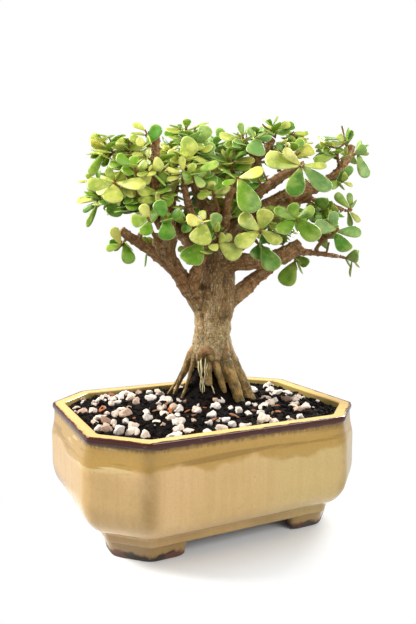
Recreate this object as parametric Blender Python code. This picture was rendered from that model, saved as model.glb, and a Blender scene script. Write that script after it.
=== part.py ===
"""An elephant bush bonsai in a glazed clay pot with cut corners and four feet.

The pot is lofted from rings of one octagon, the soil fills it, and the trunk stands in plain holes
in the soil on a cage of roots. Each leafy spray is one twig with its leaves, seated on a limb.
The tree is measured in its own frame, in millimetres from the middle of the trunk's foot:
x runs across the tree's front, y runs away from its front, and z runs up.
"""
import math
import random

import bmesh
import bpy
import numpy as np
from mathutils import Matrix, Vector

MM = 0.001
GAP = 0.0003
SHARP_EDGE = math.radians(38)

# Pot, in metres
POT_LENGTH = 0.200
POT_WIDTH = 0.156
POT_HEIGHT = 0.081
POT_CORNER_CUT = 0.030
POT_EDGE_ROUND = 0.008
LIP_WIDTH = 0.0090
FLOOR_TOP = 0.0150
FOOT_HEIGHT = 0.0090
FOOT_ALONG = 0.025
FOOT_ACROSS = 0.016
FOOT_DEPTH = 0.012
FOOT_TAPER = 0.0030
FOOT_SUNK = 0.0020
FOOT_INSET = 0.0171
BAND_INSET = 0.0165
DRAIN_RADIUS = 0.006
DRAIN_DEPTH = 0.020
DRAIN_SPACING = 0.090
INSET_TO_CUT = 2.0 - math.sqrt(2.0)

# Outer wall from the underside up, then over the lip and down to the floor: inset and height
POT_PROFILE = (
    (BAND_INSET + 0.0005, FOOT_HEIGHT),
    (BAND_INSET - 0.0005, FOOT_HEIGHT + 0.0008),
    (BAND_INSET - 0.0010, 0.0168),
    (0.0125, 0.0184),
    (0.0060, 0.0240),
    (0.0012, 0.0335),
    (-0.0012, 0.0460),
    (-0.0006, 0.0610),
    (0.0026, 0.0755),
    (0.0004, 0.0774),
    (0.0000, 0.0800),
    (0.0008, POT_HEIGHT),
    (LIP_WIDTH - 0.0008, POT_HEIGHT),
    (LIP_WIDTH, POT_HEIGHT - 0.0010),
    (LIP_WIDTH - 0.0010, 0.0560),
    (0.0105, 0.0340),
    (0.0220, FLOOR_TOP),
)
INNER_RINGS = 4

# Soil, in metres
SOIL_EDGE_DROP = 0.0042
SOIL_RINGS = (0.86, 0.62, 0.38, 0.16)
SOIL_ROUGHNESS = 0.0009
HOLE_GROWTH = 0.00035
MOUND_HEIGHT = 0.017
MOUND_REACH = 0.017
STONE_COUNT = 96
STONE_SIZE = (0.0025, 0.0042)
STONE_SEED = 11
STONE_TRIES = 9000
STONE_APART = 0.92
STONE_OFF_WALL = 1.3
STONE_OFF_ROOT = 1.25
STONE_SIDES = 5
STONE_BURIED = 0.45
STONE_PEAK = (0.62, 0.95)
STONE_LEAN = 0.3
STONE_ROUGHNESS = (0.85, 1.15)
STONE_LENGTHS = (0.9, 1.15)
ROOT_PROBE_LEVELS = (-4.0, 0.0, 4.0, 8.0)

# Where the tree's own frame stands in the pot
TREE_TURN = math.radians(-25.9)
TREE_FOOT = Vector((0.014, 0.012, 0.080))

# Trunk, roots and limbs: points of (x, y, z, radius) in millimetres in the tree's frame
TRUNK = (
    (-1, 3, 23, 11.5), (-1, 2, 30, 15.0), (0, 1, 37, 16.0), (0, 0, 47, 13.8), (1, 0, 59, 13.3),
    (2, 0, 70, 14.6), (3, 0, 84, 13.8), (5, 0, 97, 12.0), (7, 0, 110, 10.5), (7, 0, 122, 8.5),
)
LIMBS = {
    "left_limb": ((-3, 0, 68, 9), (-11, -4, 78, 8.2), (-19, -9, 88, 6.3), (-26, -13, 98, 5.6),
                  (-32, -16, 106, 6.8), (-34, -18, 114, 8.0), (-33, -18, 123, 8.8)),
    "left_cut": ((-33, -17, 103, 4.2), (-44, -20, 112, 3.7), (-53, -23, 118, 3.4), (-64, -26, 126, 3.3)),
    "left_cut_stub": ((-53, -23, 118, 2.0), (-49, -24, 127, 1.8)),
    "left_upright": ((-31, -18, 119, 5.5), (-32, -18, 133, 4.2), (-37, -18, 147, 3.6), (-41, -20, 158, 3.3),
                     (-40, -20, 175, 3.1), (-39, -22, 192, 3.0)),
    "left_back": ((-31, -12, 117, 4.8), (-31, -2, 142, 3.6), (-28, 8, 159, 3.1), (-28, 14, 178, 2.4)),
    "left_side": ((-37, -19, 146, 3.4), (-46, -22, 151, 3.0), (-56, -23, 155, 2.6), (-64, -25, 159, 2.1)),
    "left_side_back": ((-33, -10, 126, 3.8), (-46, 0, 140, 3.1), (-61, 5, 146, 2.6), (-75, 8, 150, 2.1)),
    "left_top": ((-40, -20, 167, 2.8), (-50, -14, 173, 2.5), (-60, -10, 178, 2.2), (-70, -8, 182, 2.0)),
    "centre_left": ((-15, -7, 81, 5.5), (-13, -14, 93, 4.2), (-8, -17, 105, 3.8), (-6, -19, 116, 3.4),
                    (-10, -21, 129, 3.1), (-16, -21, 142, 2.8), (-20, -23, 158, 2.4)),
    "stump_limb": ((6, -2, 118, 8.2), (2, -8, 131, 7.2), (-2, -14, 143, 6.5)),
    "left_inner": ((0, -4, 130, 5.4), (-4, 0, 143, 4.4), (-11, 4, 157, 3.8), (-17, 7, 172, 3.2),
                   (-19, 8, 188, 2.2)),
    "right_low": ((6, 4, 70, 8.0), (20, 4, 80, 6.2), (33, 6, 91, 5.2), (44, 8, 100, 4.6), (55, 8, 109, 4.2),
                  (62, 6, 115, 3.6)),
    "right_mid": ((8, -4, 101, 8.0), (20, -10, 104, 6.4), (32, -14, 104, 6.0), (43, -16, 106, 6.1),
                  (54, -17, 110, 5.8), (64, -18, 116, 5.4)),
    "thin_right": ((60, -18, 111, 3.2), (69, -18, 111, 2.4), (77, -18, 110, 2.1), (84, -18, 109, 1.9),
                   (91, -18, 108, 1.7)),
    "right_upper": ((7, -2, 116, 8.6), (18, -6, 127, 7.5), (28, -8, 134, 6.7), (38, -10, 142, 6.1),
                    (50, -10, 149, 5.7), (61, -10, 155, 5.2), (75, -8, 158, 4.5)),
    "red_branch": ((73, -8, 157, 4.2), (83, -8, 162, 3.7), (91, -8, 168, 3.4), (97, -8, 178, 3.3),
                   (101, -8, 188, 3.2)),
    "right_inner": ((17, 0, 125, 5.2), (38, 4, 133, 4.4), (55, 8, 145, 3.9), (67, 8, 151, 3.6),
                    (74, 8, 156, 3.3)),
    "right_thin": ((68, 8, 151, 2.8), (84, 10, 149, 2.2), (100, 10, 143, 1.7)),
    "top_branch": ((8, 0, 120, 6.4), (15, 2, 142, 4.6), (20, 4, 159, 3.8), (30, 4, 175, 3.3),
                   (39, 2, 186, 3.0), (45, 0, 194, 2.5)),
    "right_front": ((29, -8, 136, 5.0), (32, -16, 152, 3.9), (43, -20, 160, 3.6), (52, -23, 166, 3.3),
                    (60, -26, 171, 3.0)),
    "centre_front": ((6, -4, 122, 5.4), (10, -16, 136, 3.5), (11, -24, 147, 2.8), (15, -29, 156, 2.3)),
    "back_left": ((2, 4, 96, 8.0), (-12, 22, 112, 5.6), (-26, 36, 128, 4.6), (-38, 46, 145, 3.8),
                  (-44, 52, 161, 2.9)),
    "back_right": ((7, 4, 102, 7.6), (22, 22, 118, 5.4), (38, 36, 132, 4.4), (54, 44, 145, 3.6),
                   (66, 50, 158, 2.7)),
    "back_top": ((7, 3, 118, 6.4), (6, 18, 138, 4.6), (3, 30, 158, 3.6), (6, 38, 178, 2.6)),
    "back_low": ((4, 6, 82, 7.5), (6, 26, 97, 4.8), (4, 42, 109, 4.0), (8, 57, 121, 2.9)),
}
ROOTS = {
    "front_thick": ((8, -6, 42, 5.2), (11, -11, 28, 4.5), (16, -11, 15, 4.3), (20, -10, 2, 4.1),
                    (23, -10, -9, 3.4)),
    "right_thick": ((8, 0, 44, 4.2), (14, -1, 31, 4.8), (20, 0, 19, 4.6), (28, 2, 3, 4.2), (33, 3, -9, 3.2)),
    "front_slim": ((1, -10, 38, 3.6), (4, -13, 24, 2.7), (8, -12, 12, 2.6), (10, -9, 0, 2.4), (11, -7, -8, 2.0)),
    "red_stub": ((-3, -11, 35, 3.2), (-3, -14, 24, 2.8), (-2, -14, 13, 2.9)),
    "knot": ((-10, -12, 32, 2.4), (-8, -15, 37, 2.8), (-3, -15, 39, 3.0), (0, -13, 33, 2.6)),
    "pale_front": ((-9, -12, 34, 1.3), (-7, -14, 19, 1.2), (-9, -9, 4, 1.1), (-10, -6, -7, 1.0)),
    "pale_inner": ((-6, -13, 34, 1.2), (-7, -14, 24, 1.1), (-5, -12, 12, 1.1), (-6, -8, 2, 1.0), (-7, -6, -7, 1.0)),
    "pale_right": ((-1, -13, 15, 1.2), (2, -12, 7, 1.1), (6, -12, 0, 1.0), (8, -12, -6, 0.9)),
    "left_red": ((-12, -2, 38, 4.6), (-17, -1, 30, 3.5), (-21, 2, 20, 2.4), (-27, 9, 7, 1.7), (-31, 14, -7, 1.4)),
    "left_dark": ((-14, 3, 36, 3.2), (-20, 7, 24, 2.0), (-27, 14, 11, 1.5), (-34, 20, 0, 1.3), (-38, 24, -8, 1.2)),
    "left_slim": ((-13, -7, 34, 2.6), (-16, -9, 22, 1.6), (-20, -8, 9, 1.4), (-24, -6, -2, 1.2), (-26, -5, -8, 1.1)),
    "back_1": ((10, 8, 40, 5.4), (17, 12, 25, 4.2), (23, 15, 12, 3.8), (29, 19, 0, 3.4), (32, 21, -8, 2.8)),
    "back_2": ((2, 12, 40, 5.0), (6, 18, 25, 3.9), (9, 23, 12, 3.5), (12, 29, 0, 3.1), (14, 32, -8, 2.6)),
    "back_3": ((-7, 10, 40, 4.8), (-9, 17, 25, 3.6), (-11, 23, 12, 3.1), (-15, 29, 0, 2.7), (-17, 32, -8, 2.3)),
}
AERIAL_ROOT = ((11, -4, 132, 0.8), (12, -9, 122, 0.7), (13, -12, 115, 0.6), (13, -12, 110, 0.5))

# Sprays: limb, place along it, the twig's tip, and the leaves that are set one by one:
# the leaf's far end, its width, and whether its face or its edge is turned to the front
FACE, EDGE = "face", "edge"
SPRAYS = (
    ("left_top", 1.0, (-78, -8, 185), (
        ((-88, -14, 166), 7, FACE), ((-86, -4, 187), 4, EDGE), ((-70, -12, 192), 4, EDGE))),
    ("left_top", 0.45, (-62, -22, 183), (((-46, -26, 186), 6, FACE), ((-60, -16, 192), 6, FACE))),
    ("left_side", 1.0, (-67, -36, 158), (
        ((-85, -40, 156), 11, FACE), ((-45, -42, 156), 10, FACE), ((-67, -44, 144), 13, FACE),
        ((-57, -32, 167), 6, FACE), ((-72, -34, 168), 6, FACE))),
    ("left_side", 0.6, (-53, -36, 169), (((-64, -42, 175), 8, FACE), ((-44, -40, 171), 6, FACE))),
    ("left_side_back", 1.0, (-86, 6, 149), (
        ((-93, 0, 130), 5, FACE), ((-98, 8, 142), 5, FACE), ((-102, 10, 152), 5, FACE), ((-81, 4, 160), 6, EDGE))),
    ("left_side_back", 0.75, (-91, 18, 166), (((-103, 16, 165), 5, EDGE),)),
    ("left_side_back", 0.5, (-67, -8, 150), (((-72, -16, 137), 12, FACE),)),
    ("left_cut", 0.85, (-64, -30, 115), (
        ((-69, -32, 128), 7, FACE), ((-74, -32, 113), 6, FACE), ((-57, -32, 103), 9, FACE))),
    ("left_cut", 0.35, (-48, -10, 113), (
        ((-45, -12, 122), 6, FACE), ((-50, -10, 100), 5, EDGE), ((-40, -8, 104), 4, EDGE))),
    ("left_limb", 0.93, (-43, -44, 134), (
        ((-54, -48, 131), 10, FACE), ((-45, -50, 122), 9, FACE), ((-47, -44, 143), 7, FACE))),
    ("left_limb", 0.86, (-31, -44, 135), (
        ((-30, -50, 119), 11, FACE), ((-37, -46, 145), 9, FACE), ((-20, -46, 139), 7, FACE))),
    ("left_upright", 0.5, (-34, -34, 147), (((-48, -38, 146), 6, FACE), ((-24, -38, 150), 4, EDGE))),
    ("left_upright", 0.66, (-42, -38, 166), (((-31, -36, 156), 3, EDGE), ((-51, -42, 162), 6, FACE))),
    ("left_upright", 0.9, (-46, -30, 184), (((-36, -32, 197), 10, FACE), ((-57, -30, 190), 6, FACE))),
    ("left_back", 1.0, (-32, 10, 189), (((-24, 6, 197), 7, FACE), ((-39, 4, 182), 7, FACE))),
    ("left_back", 0.6, (-40, 28, 172), ()),
    ("left_inner", 1.0, (-19, 8, 204), (((-34, 8, 200), 5, FACE), ((-2, 8, 208), 3, EDGE))),
    ("left_inner", 0.85, (-10, -4, 190), (((-3, -6, 202), 11, FACE), ((-1, -14, 184), 8, FACE))),
    ("left_inner", 0.62, (-22, -14, 176), (((-14, -22, 190), 14, FACE), ((-31, -16, 183), 6, FACE))),
    ("centre_left", 1.0, (-20, -30, 166), (
        ((-21, -32, 176), 5, FACE), ((-31, -36, 168), 4, FACE), ((-31, -36, 160), 4, FACE),
        ((-11, -30, 171), 4, FACE))),
    ("centre_left", 0.62, (-19, -46, 134), (
        ((-30, -48, 139), 9, FACE), ((-27, -50, 125), 7, FACE), ((-17, -50, 124), 7, FACE))),
    ("centre_left", 0.5, (-5, -48, 132), (((-17, -54, 132), 9, FACE), ((-9, -56, 116), 14, FACE))),
    ("centre_left", 0.3, (-6, -44, 118), (((-17, -52, 104), 16, FACE), ((-22, -36, 107), 6, EDGE))),
    ("stump_limb", 0.45, (1, -44, 125), (((3, -46, 137), 8, FACE),)),
    ("stump_limb", 0.15, (4, -46, 117), (((18, -54, 108), 12, FACE), ((13, -46, 122), 6, FACE))),
    ("left_inner", 0.45, (-13, -34, 165), (((4, -40, 171), 7, FACE), ((-6, -38, 155), 6, FACE))),
    ("stump_limb", 0.9, (0, -30, 154), (((-10, -34, 148), 6, FACE), ((12, -38, 154), 7, FACE))),
    ("centre_front", 1.0, (17, -48, 160), (
        ((27, -56, 137), 15, FACE), ((33, -54, 164), 9, FACE), ((7, -52, 155), 5, FACE),
        ((6, -46, 166), 4, EDGE))),
    ("top_branch", 0.55, (11, -12, 178), (((0, -14, 184), 6, EDGE), ((21, -18, 182), 6, EDGE))),
    ("top_branch", 0.78, (22, -6, 195), (((20, -8, 204), 5, FACE), ((16, -14, 184), 9, FACE))),
    ("top_branch", 1.0, (44, -2, 203), (((37, -8, 206), 5, EDGE), ((57, -4, 204), 6, FACE))),
    ("top_branch", 0.88, (31, -18, 192), (((30, -28, 178), 13, FACE), ((41, -24, 190), 6, FACE))),
    ("top_branch", 0.93, (62, 12, 190), (((77, 10, 194), 5, EDGE), ((56, 12, 200), 5, EDGE))),
    ("back_top", 1.0, (4, 32, 198), (((8, 24, 206), 9, FACE),)),
    ("right_front", 1.0, (59, -42, 168), (
        ((35, -46, 173), 13, FACE), ((47, -48, 178), 8, FACE), ((53, -50, 148), 12, FACE),
        ((78, -48, 152), 12, FACE), ((76, -44, 168), 6, FACE))),
    ("right_front", 0.75, (56, -22, 182), (((64, -20, 190), 6, FACE), ((45, -22, 187), 6, FACE))),
    ("red_branch", 0.95, (94, -14, 189), (((83, -16, 187), 5, FACE), ((96, -16, 199), 4, EDGE))),
    ("red_branch", 0.88, (107, -2, 184), (((112, -8, 165), 9, FACE), ((116, 2, 191), 4, EDGE))),
    ("red_branch", 0.62, (89, -16, 181), (((72, -20, 175), 7, FACE),)),
    ("red_branch", 0.3, (93, -18, 161), (((82, -22, 157), 7, FACE), ((98, -22, 171), 6, FACE))),
    ("right_thin", 1.0, (104, 10, 144), (
        ((93, 6, 155), 7, FACE), ((104, 10, 156), 5, FACE), ((112, 8, 134), 5, FACE))),
    ("right_thin", 0.45, (80, -12, 139), (((70, -16, 134), 7, FACE), ((87, -16, 131), 6, FACE))),
    ("right_upper", 0.72, (57, -44, 132), (
        ((41, -48, 139), 7, FACE), ((53, -48, 143), 8, FACE), ((68, -46, 140), 8, FACE),
        ((44, -52, 124), 10, FACE), ((69, -52, 119), 13, FACE))),
    ("right_upper", 0.42, (32, -48, 125), (
        ((18, -50, 135), 11, FACE), ((36, -50, 139), 11, FACE), ((16, -54, 115), 11, FACE),
        ((45, -52, 117), 9, FACE))),
    ("right_upper", 0.3, (34, -40, 115), (((42, -48, 99), 13, FACE),)),
    ("thin_right", 0.45, (87, -32, 127), (
        ((70, -36, 129), 10, FACE), ((103, -34, 125), 9, FACE), ((92, -42, 112), 11, FACE),
        ((84, -32, 139), 7, FACE))),
    ("thin_right", 1.0, (101, -18, 106), (((99, -18, 93), 3, EDGE),)),
    ("right_low", 0.97, (62, -2, 104), (((53, -8, 87), 13, FACE), ((68, -4, 95), 4, EDGE))),
    ("back_left", 1.0, (-50, 60, 172), ()),
    ("back_left", 0.72, (-56, 38, 152), ()),
    ("back_left", 0.5, (-34, 58, 138), ()),
    ("back_right", 1.0, (76, 54, 166), ()),
    ("back_right", 0.7, (44, 62, 148), ()),
    ("back_right", 0.5, (58, 26, 130), ()),
    ("back_top", 0.7, (22, 48, 174), ()),
    ("back_low", 1.0, (10, 70, 130), ()),
    ("back_low", 0.6, (-18, 56, 116), ()),
)
TWIG_TIP_RADIUS = 0.85
TWIG_FOOT_RADIUS = 1.15
TWIG_STOUTNESS = 0.018
TWIG_LIMB_SHARE = 0.85
TWIG_BEND = (0.35, 0.30)
TWIG_RISE = 0.35
TWIG_DETOURS = (5.0, 9.0, 14.0)
TWIG_ROOM = 0.6
TWIG_SEAT = 0.35
TWIG_STEPS = 3
SEAT_ROUNDS = 4
LEAF_LENGTH = 12.5
LEAF_BROADNESS = 0.78
LEAF_STRETCH = 0.75
LEAF_SHOULDER = 0.42
LEAF_RIDGE = 0.52
LEAF_DROOP = 0.05
LEAF_THICKNESS = (0.7, 0.115)
LONG_LEAF = 15.0
LEAF_SEED = 5
PROBES_ACROSS = 5
OWN_ROOM = 0.25
OTHER_ROOM = 1.25
WOOD_ROOM = 0.75
TURNS_OUT = (40.0, 58.0, 70.0)
PAIR_SIZES = (0.66, 0.92, 1.0)
PAIR_SPACING = 4.6
PAIR_SPIN = 0.3
PAIR_OPENING = 7.0
PAIR_SIZE_SPREAD = (0.85, 1.15)
SPRAY_SPIN = 0.7
SHOWN_ENOUGH = (2, 3, 0)
SHOWN_FIRST = 0.9
SHOWN_SPACING = 1.5
FACE_LIFT = 0.45
EDGE_TILT = 0.35
PAIR_FACE_LIFT = 0.4
LEAST_SHARE = 0.25
CAREFUL_TRIES = (
    (0, 0, 1.0), (8, 0, 0.95), (-8, 0, 0.95), (0, 25, 0.92), (0, -25, 0.92), (0, 0, 0.8), (15, 15, 0.75))
FREE_TRIES = (
    (0, 0, 1.0), (12, 0, 1.0), (-12, 0, 1.0), (0, 30, 0.95), (0, -30, 0.95), (22, 20, 0.9),
    (-22, -20, 0.9), (22, -30, 0.8), (-22, 30, 0.8), (0, 0, 0.7), (30, 0, 0.7), (-30, 0, 0.7))
UP = np.array((0.0, 0.0, 1.0))
TO_FRONT = np.array((0.0, -1.0, 0.0))


def unit(vector):
    """A vector of the same direction and length one."""
    return vector / np.linalg.norm(vector)


def finish_material(name, colour, roughness, metallic=0.0):
    """A plain finish of one colour."""
    material = bpy.data.materials.new(name)
    material.use_nodes = True
    shader = material.node_tree.nodes["Principled BSDF"]
    shader.inputs["Base Color"].default_value = (*colour, 1.0)
    shader.inputs["Roughness"].default_value = roughness
    shader.inputs["Metallic"].default_value = metallic
    return material


def place_mesh(name, mesh, collection, material=None):
    """An object that carries a mesh, in a collection."""
    if material:
        mesh.materials.clear()
        mesh.materials.append(material)
    thing = bpy.data.objects.new(name, mesh)
    collection.objects.link(thing)
    return thing


def mesh_from(bm, name):
    """A mesh from a bmesh whose faces point outwards."""
    bmesh.ops.recalc_face_normals(bm, faces=bm.faces)
    if bm.calc_volume(signed=True) < 0.0:
        bmesh.ops.reverse_faces(bm, faces=bm.faces)
    mesh = bpy.data.meshes.new(name)
    bm.to_mesh(mesh)
    bm.free()
    return mesh


def evaluated_copy(thing, name):
    """The mesh that a thing shows after its modifiers or its curve bevel."""
    bpy.context.view_layer.update()
    graph = bpy.context.evaluated_depsgraph_get()
    mesh = bpy.data.meshes.new_from_object(thing.evaluated_get(graph))
    mesh.name = name
    return mesh


def join_pieces(thing, pieces, operation="UNION"):
    """Joins or cuts a solid with a collection of closed solids, which are then removed."""
    modifier = thing.modifiers.new("join", "BOOLEAN")
    modifier.operation = operation
    modifier.operand_type = "COLLECTION"
    modifier.collection = pieces
    modifier.solver = "MANIFOLD"
    joined = evaluated_copy(thing, thing.name)
    thing.modifiers.remove(modifier)
    keep_main_body(joined)
    old = thing.data
    thing.data = joined
    bpy.data.meshes.remove(old)
    for piece in list(pieces.objects):
        bpy.data.objects.remove(piece)
    bpy.data.collections.remove(pieces)


def keep_main_body(mesh):
    """Drops loose scraps and fills sealed hollows: only the body with the most faces stays."""
    bm = bmesh.new()
    bm.from_mesh(mesh)
    unseen = set(bm.faces)
    bodies = []
    while unseen:
        body, edge = [], [unseen.pop()]
        while edge:
            face = edge.pop()
            body.append(face)
            for near in {other for vert in face.verts for other in vert.link_faces} & unseen:
                unseen.discard(near)
                edge.append(near)
        bodies.append(body)
    bodies.sort(key=len)
    for body in bodies[:-1]:
        bmesh.ops.delete(bm, geom=body, context="FACES")
    bm.to_mesh(mesh)
    bm.free()


def shade_round(mesh):
    """Shades a mesh smooth, with its true edges kept sharp."""
    mesh.shade_smooth()
    mesh.set_sharp_from_angle(angle=SHARP_EDGE)


def working_collection(name):
    """A collection for pieces that are joined to a node or cut from one."""
    pieces = bpy.data.collections.new(name)
    bpy.context.scene.collection.children.link(pieces)
    return pieces


def plan_ring(inset, height):
    """The octagon at one inset from the rim, its corners rounded over three points each."""
    half_length = POT_LENGTH / 2 - inset
    half_width = POT_WIDTH / 2 - inset
    cut = POT_CORNER_CUT - INSET_TO_CUT * inset
    corners = [
        Vector((half_length - cut, -half_width)), Vector((half_length, -half_width + cut)),
        Vector((half_length, half_width - cut)), Vector((half_length - cut, half_width)),
        Vector((-half_length + cut, half_width)), Vector((-half_length, half_width - cut)),
        Vector((-half_length, -half_width + cut)), Vector((-half_length + cut, -half_width)),
    ]
    back_off = POT_EDGE_ROUND * math.tan(math.radians(22.5))
    points = []
    for index, corner in enumerate(corners):
        before = corner + (corners[index - 1] - corner).normalized() * back_off
        after = corner + (corners[(index + 1) % 8] - corner).normalized() * back_off
        middle = (before + after) / 2
        points += [before, middle + (corner - middle) / 2, after]
    return [Vector((point.x, point.y, height)) for point in points]


def loft(rings):
    """A closed solid through rings of equal point counts, with flat ends."""
    bm = bmesh.new()
    loops = [[bm.verts.new(point) for point in ring] for ring in rings]
    count = len(loops[0])
    for lower, upper in zip(loops, loops[1:]):
        for index in range(count):
            after = (index + 1) % count
            bm.faces.new((lower[index], lower[after], upper[after], upper[index]))
    bm.faces.new(reversed(loops[0]))
    bm.faces.new(loops[-1])
    return bm


def foot_outline(inset, height, shorten):
    """One corner foot seen from above: along the long side, across the cut corner, along the short."""
    x = POT_LENGTH / 2 - inset
    y = POT_WIDTH / 2 - inset
    cut = POT_CORNER_CUT - INSET_TO_CUT * inset
    along = x - cut - FOOT_ALONG + shorten
    across = y - cut - FOOT_ACROSS + shorten
    inner = FOOT_DEPTH - shorten
    return [
        Vector((along, y, height)), Vector((along, y - inner, height)),
        Vector((x - cut, y - inner, height)), Vector((x - inner, y - cut, height)),
        Vector((x - inner, across, height)), Vector((x, across, height)),
        Vector((x, y - cut, height)), Vector((x - cut, y, height)),
    ]


def build_pot(collection, material):
    """The fired pot: lofted wall and floor, four corner feet and two drain holes."""
    body = loft([plan_ring(inset, height) for inset, height in POT_PROFILE])
    pot = place_mesh("pot", mesh_from(body, "pot"), collection, material)
    feet = working_collection("pot_feet")
    top = foot_outline(FOOT_INSET, FOOT_HEIGHT + FOOT_SUNK, 0.0)
    sole = foot_outline(BAND_INSET + FOOT_TAPER, 0.0, FOOT_TAPER)
    for side_x in (-1, 1):
        for side_y in (-1, 1):
            foot = loft([sole, top])
            bmesh.ops.scale(foot, vec=(side_x, side_y, 1.0), verts=foot.verts)
            place_mesh("foot", mesh_from(foot, "foot"), feet)
    join_pieces(pot, feet)
    drains = working_collection("drains")
    for side in (-1, 1):
        drill = bmesh.new()
        bmesh.ops.create_cone(
            drill, cap_ends=True, segments=14, radius1=DRAIN_RADIUS, radius2=DRAIN_RADIUS, depth=DRAIN_DEPTH,
            matrix=Matrix.Translation((side * DRAIN_SPACING / 2, 0.0, (FOOT_HEIGHT + FLOOR_TOP) / 2)))
        place_mesh("drain", mesh_from(drill, "drain"), drains)
    join_pieces(pot, drains, "DIFFERENCE")
    return pot


def smooth_route(points, per_span):
    """A smooth line through points and radii: a Catmull-Rom curve, read at equal steps."""
    route = np.array(points, dtype=float)
    padded = np.vstack((2 * route[0] - route[1], route, 2 * route[-1] - route[-2]))
    steps = np.arange(per_span)[:, None] / per_span
    spans = []
    for a, b, c, d in zip(padded, padded[1:], padded[2:], padded[3:]):
        spans.append(0.5 * (2 * b + (c - a) * steps + (2 * a - 5 * b + 4 * c - d) * steps ** 2
                            + (3 * b - a - 3 * c + d) * steps ** 3))
    return np.vstack(spans + [route[-1:]])


def tree_to_world(points):
    """Millimetres in the tree's frame turned into metres in the pot's frame."""
    cosine, sine = math.cos(TREE_TURN), math.sin(TREE_TURN)
    points = np.asarray(points, dtype=float) * MM
    x = points[..., 0] * cosine - points[..., 1] * sine
    y = points[..., 0] * sine + points[..., 1] * cosine
    return np.stack((x, y, points[..., 2]), axis=-1) + np.array(TREE_FOOT)


def tube(name, route, collection, sides_level=2, grow=0.0):
    """A tapering round stem along a route, as a bevelled curve made a closed mesh."""
    curve = bpy.data.curves.new(name, "CURVE")
    curve.dimensions = "3D"
    curve.bevel_depth = MM
    curve.bevel_resolution = sides_level
    curve.use_fill_caps = True
    spline = curve.splines.new("POLY")
    spline.points.add(len(route) - 1)
    for point, place, radius in zip(spline.points, tree_to_world(route[:, :3]), route[:, 3]):
        point.co = (*place, 1.0)
        point.radius = radius + grow / MM
    guide = bpy.data.objects.new(name, curve)
    collection.objects.link(guide)
    mesh = evaluated_copy(guide, name)
    bpy.data.objects.remove(guide)
    bpy.data.curves.remove(curve)
    bm = bmesh.new()
    bm.from_mesh(mesh)
    bpy.data.meshes.remove(mesh)
    bmesh.ops.remove_doubles(bm, verts=bm.verts, dist=1e-6)
    return place_mesh(name, mesh_from(bm, name), collection)


def sides_for(route):
    """Six sides for a slim stem, eight for a limb and ten for the trunk."""
    widest = route[:, 3].max()
    return 1 if widest < 7.0 else 2 if widest < 10.0 else 3


def wood_routes():
    """Every smooth route of the trunk's own wood, by name."""
    routes = {"trunk": smooth_route(TRUNK, 1)}
    for name, points in LIMBS.items():
        routes[name] = smooth_route(points, 2 if len(points) < 4 else 1)
    return routes


def root_routes():
    """Every smooth root route, by name."""
    return {name: smooth_route(points, 1) for name, points in ROOTS.items()}


def build_trunk(collection, material, wood, roots):
    """Trunk, limbs, cut stubs, roots and one aerial root, grown together as one piece."""
    trunk = tube("trunk", wood["trunk"], collection, 3)
    trunk.data.materials.append(material)
    limbs = working_collection("limbs")
    for name, route in list(wood.items())[1:] + list(roots.items()):
        tube(name, route, limbs, sides_for(route))
    tube("aerial_root", smooth_route(AERIAL_ROOT, 1), limbs, 1)
    join_pieces(trunk, limbs)
    return trunk


def soil_height(x, y):
    """The soil's surface: low at the pot's wall, domed to the trunk, with a mound among the roots."""
    edge = max(abs(x) / (POT_LENGTH / 2), abs(y) / (POT_WIDTH / 2))
    dome = TREE_FOOT.z - SOIL_EDGE_DROP * min(1.0, edge) ** 2
    away = math.hypot(x - TREE_FOOT.x, y - TREE_FOOT.y) / MOUND_REACH
    return dome + MOUND_HEIGHT * math.exp(-away ** 4)


def soil_body():
    """The soil's fill: the pot's inside less a small gap, under a domed and uneven surface."""
    draw = random.Random(STONE_SEED)
    inner = [(inset + GAP, height) for inset, height in POT_PROFILE[-INNER_RINGS:]]
    inner = [(inset, max(height, FLOOR_TOP + GAP)) for inset, height in reversed(inner)]
    rings = [plan_ring(inset, height) for inset, height in inner[:-1]]
    brim = plan_ring(LIP_WIDTH + GAP, POT_HEIGHT - SOIL_EDGE_DROP)
    for share in (1.0,) + SOIL_RINGS:
        ring = []
        for point in brim:
            x = point.x * share + TREE_FOOT.x * (1 - share)
            y = point.y * share + TREE_FOOT.y * (1 - share)
            rough = draw.uniform(-SOIL_ROUGHNESS, SOIL_ROUGHNESS) if share > 0.2 else 0.0
            ring.append(Vector((x, y, soil_height(x, y) + rough)))
        rings.append(ring)
    return loft(rings)


def chain_gap(points, route):
    """Least distance from each point to the skin of a tapering route, in millimetres."""
    start, run = route[:-1, :3], np.diff(route[:, :3], axis=0)
    toward = points[:, None, :] - start[None]
    along = np.clip((toward * run).sum(-1) / (run * run).sum(-1), 0.0, 1.0)
    nearest = start + run * along[..., None]
    radius = route[:-1, 3] + np.diff(route[:, 3]) * along
    return (np.linalg.norm(points[:, None, :] - nearest, axis=-1) - radius).min(axis=1)


def stone_places(roots):
    """Seeded places and sizes for the stones, clear of the wall, the roots and each other."""
    draw = random.Random(STONE_SEED)
    stones = []
    for _ in range(STONE_TRIES):
        if len(stones) == STONE_COUNT:
            break
        size = draw.uniform(*STONE_SIZE)
        x = draw.uniform(-0.5, 0.5) * POT_LENGTH
        y = draw.uniform(-0.5, 0.5) * POT_WIDTH
        reach_x = POT_LENGTH / 2 - LIP_WIDTH - size * STONE_OFF_WALL
        reach_y = POT_WIDTH / 2 - LIP_WIDTH - size * STONE_OFF_WALL
        cut = POT_CORNER_CUT - INSET_TO_CUT * LIP_WIDTH
        if abs(x) > reach_x or abs(y) > reach_y or abs(x) + abs(y) > reach_x + reach_y - cut:
            continue
        if any(math.hypot(x - a, y - b) < (size + other) * STONE_APART for a, b, other in stones):
            continue
        place = np.array([(x, y, TREE_FOOT.z)])
        if root_clearance(place, roots) < size * STONE_OFF_ROOT + 2 * GAP:
            continue
        stones.append((x, y, size))
    return stones


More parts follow.
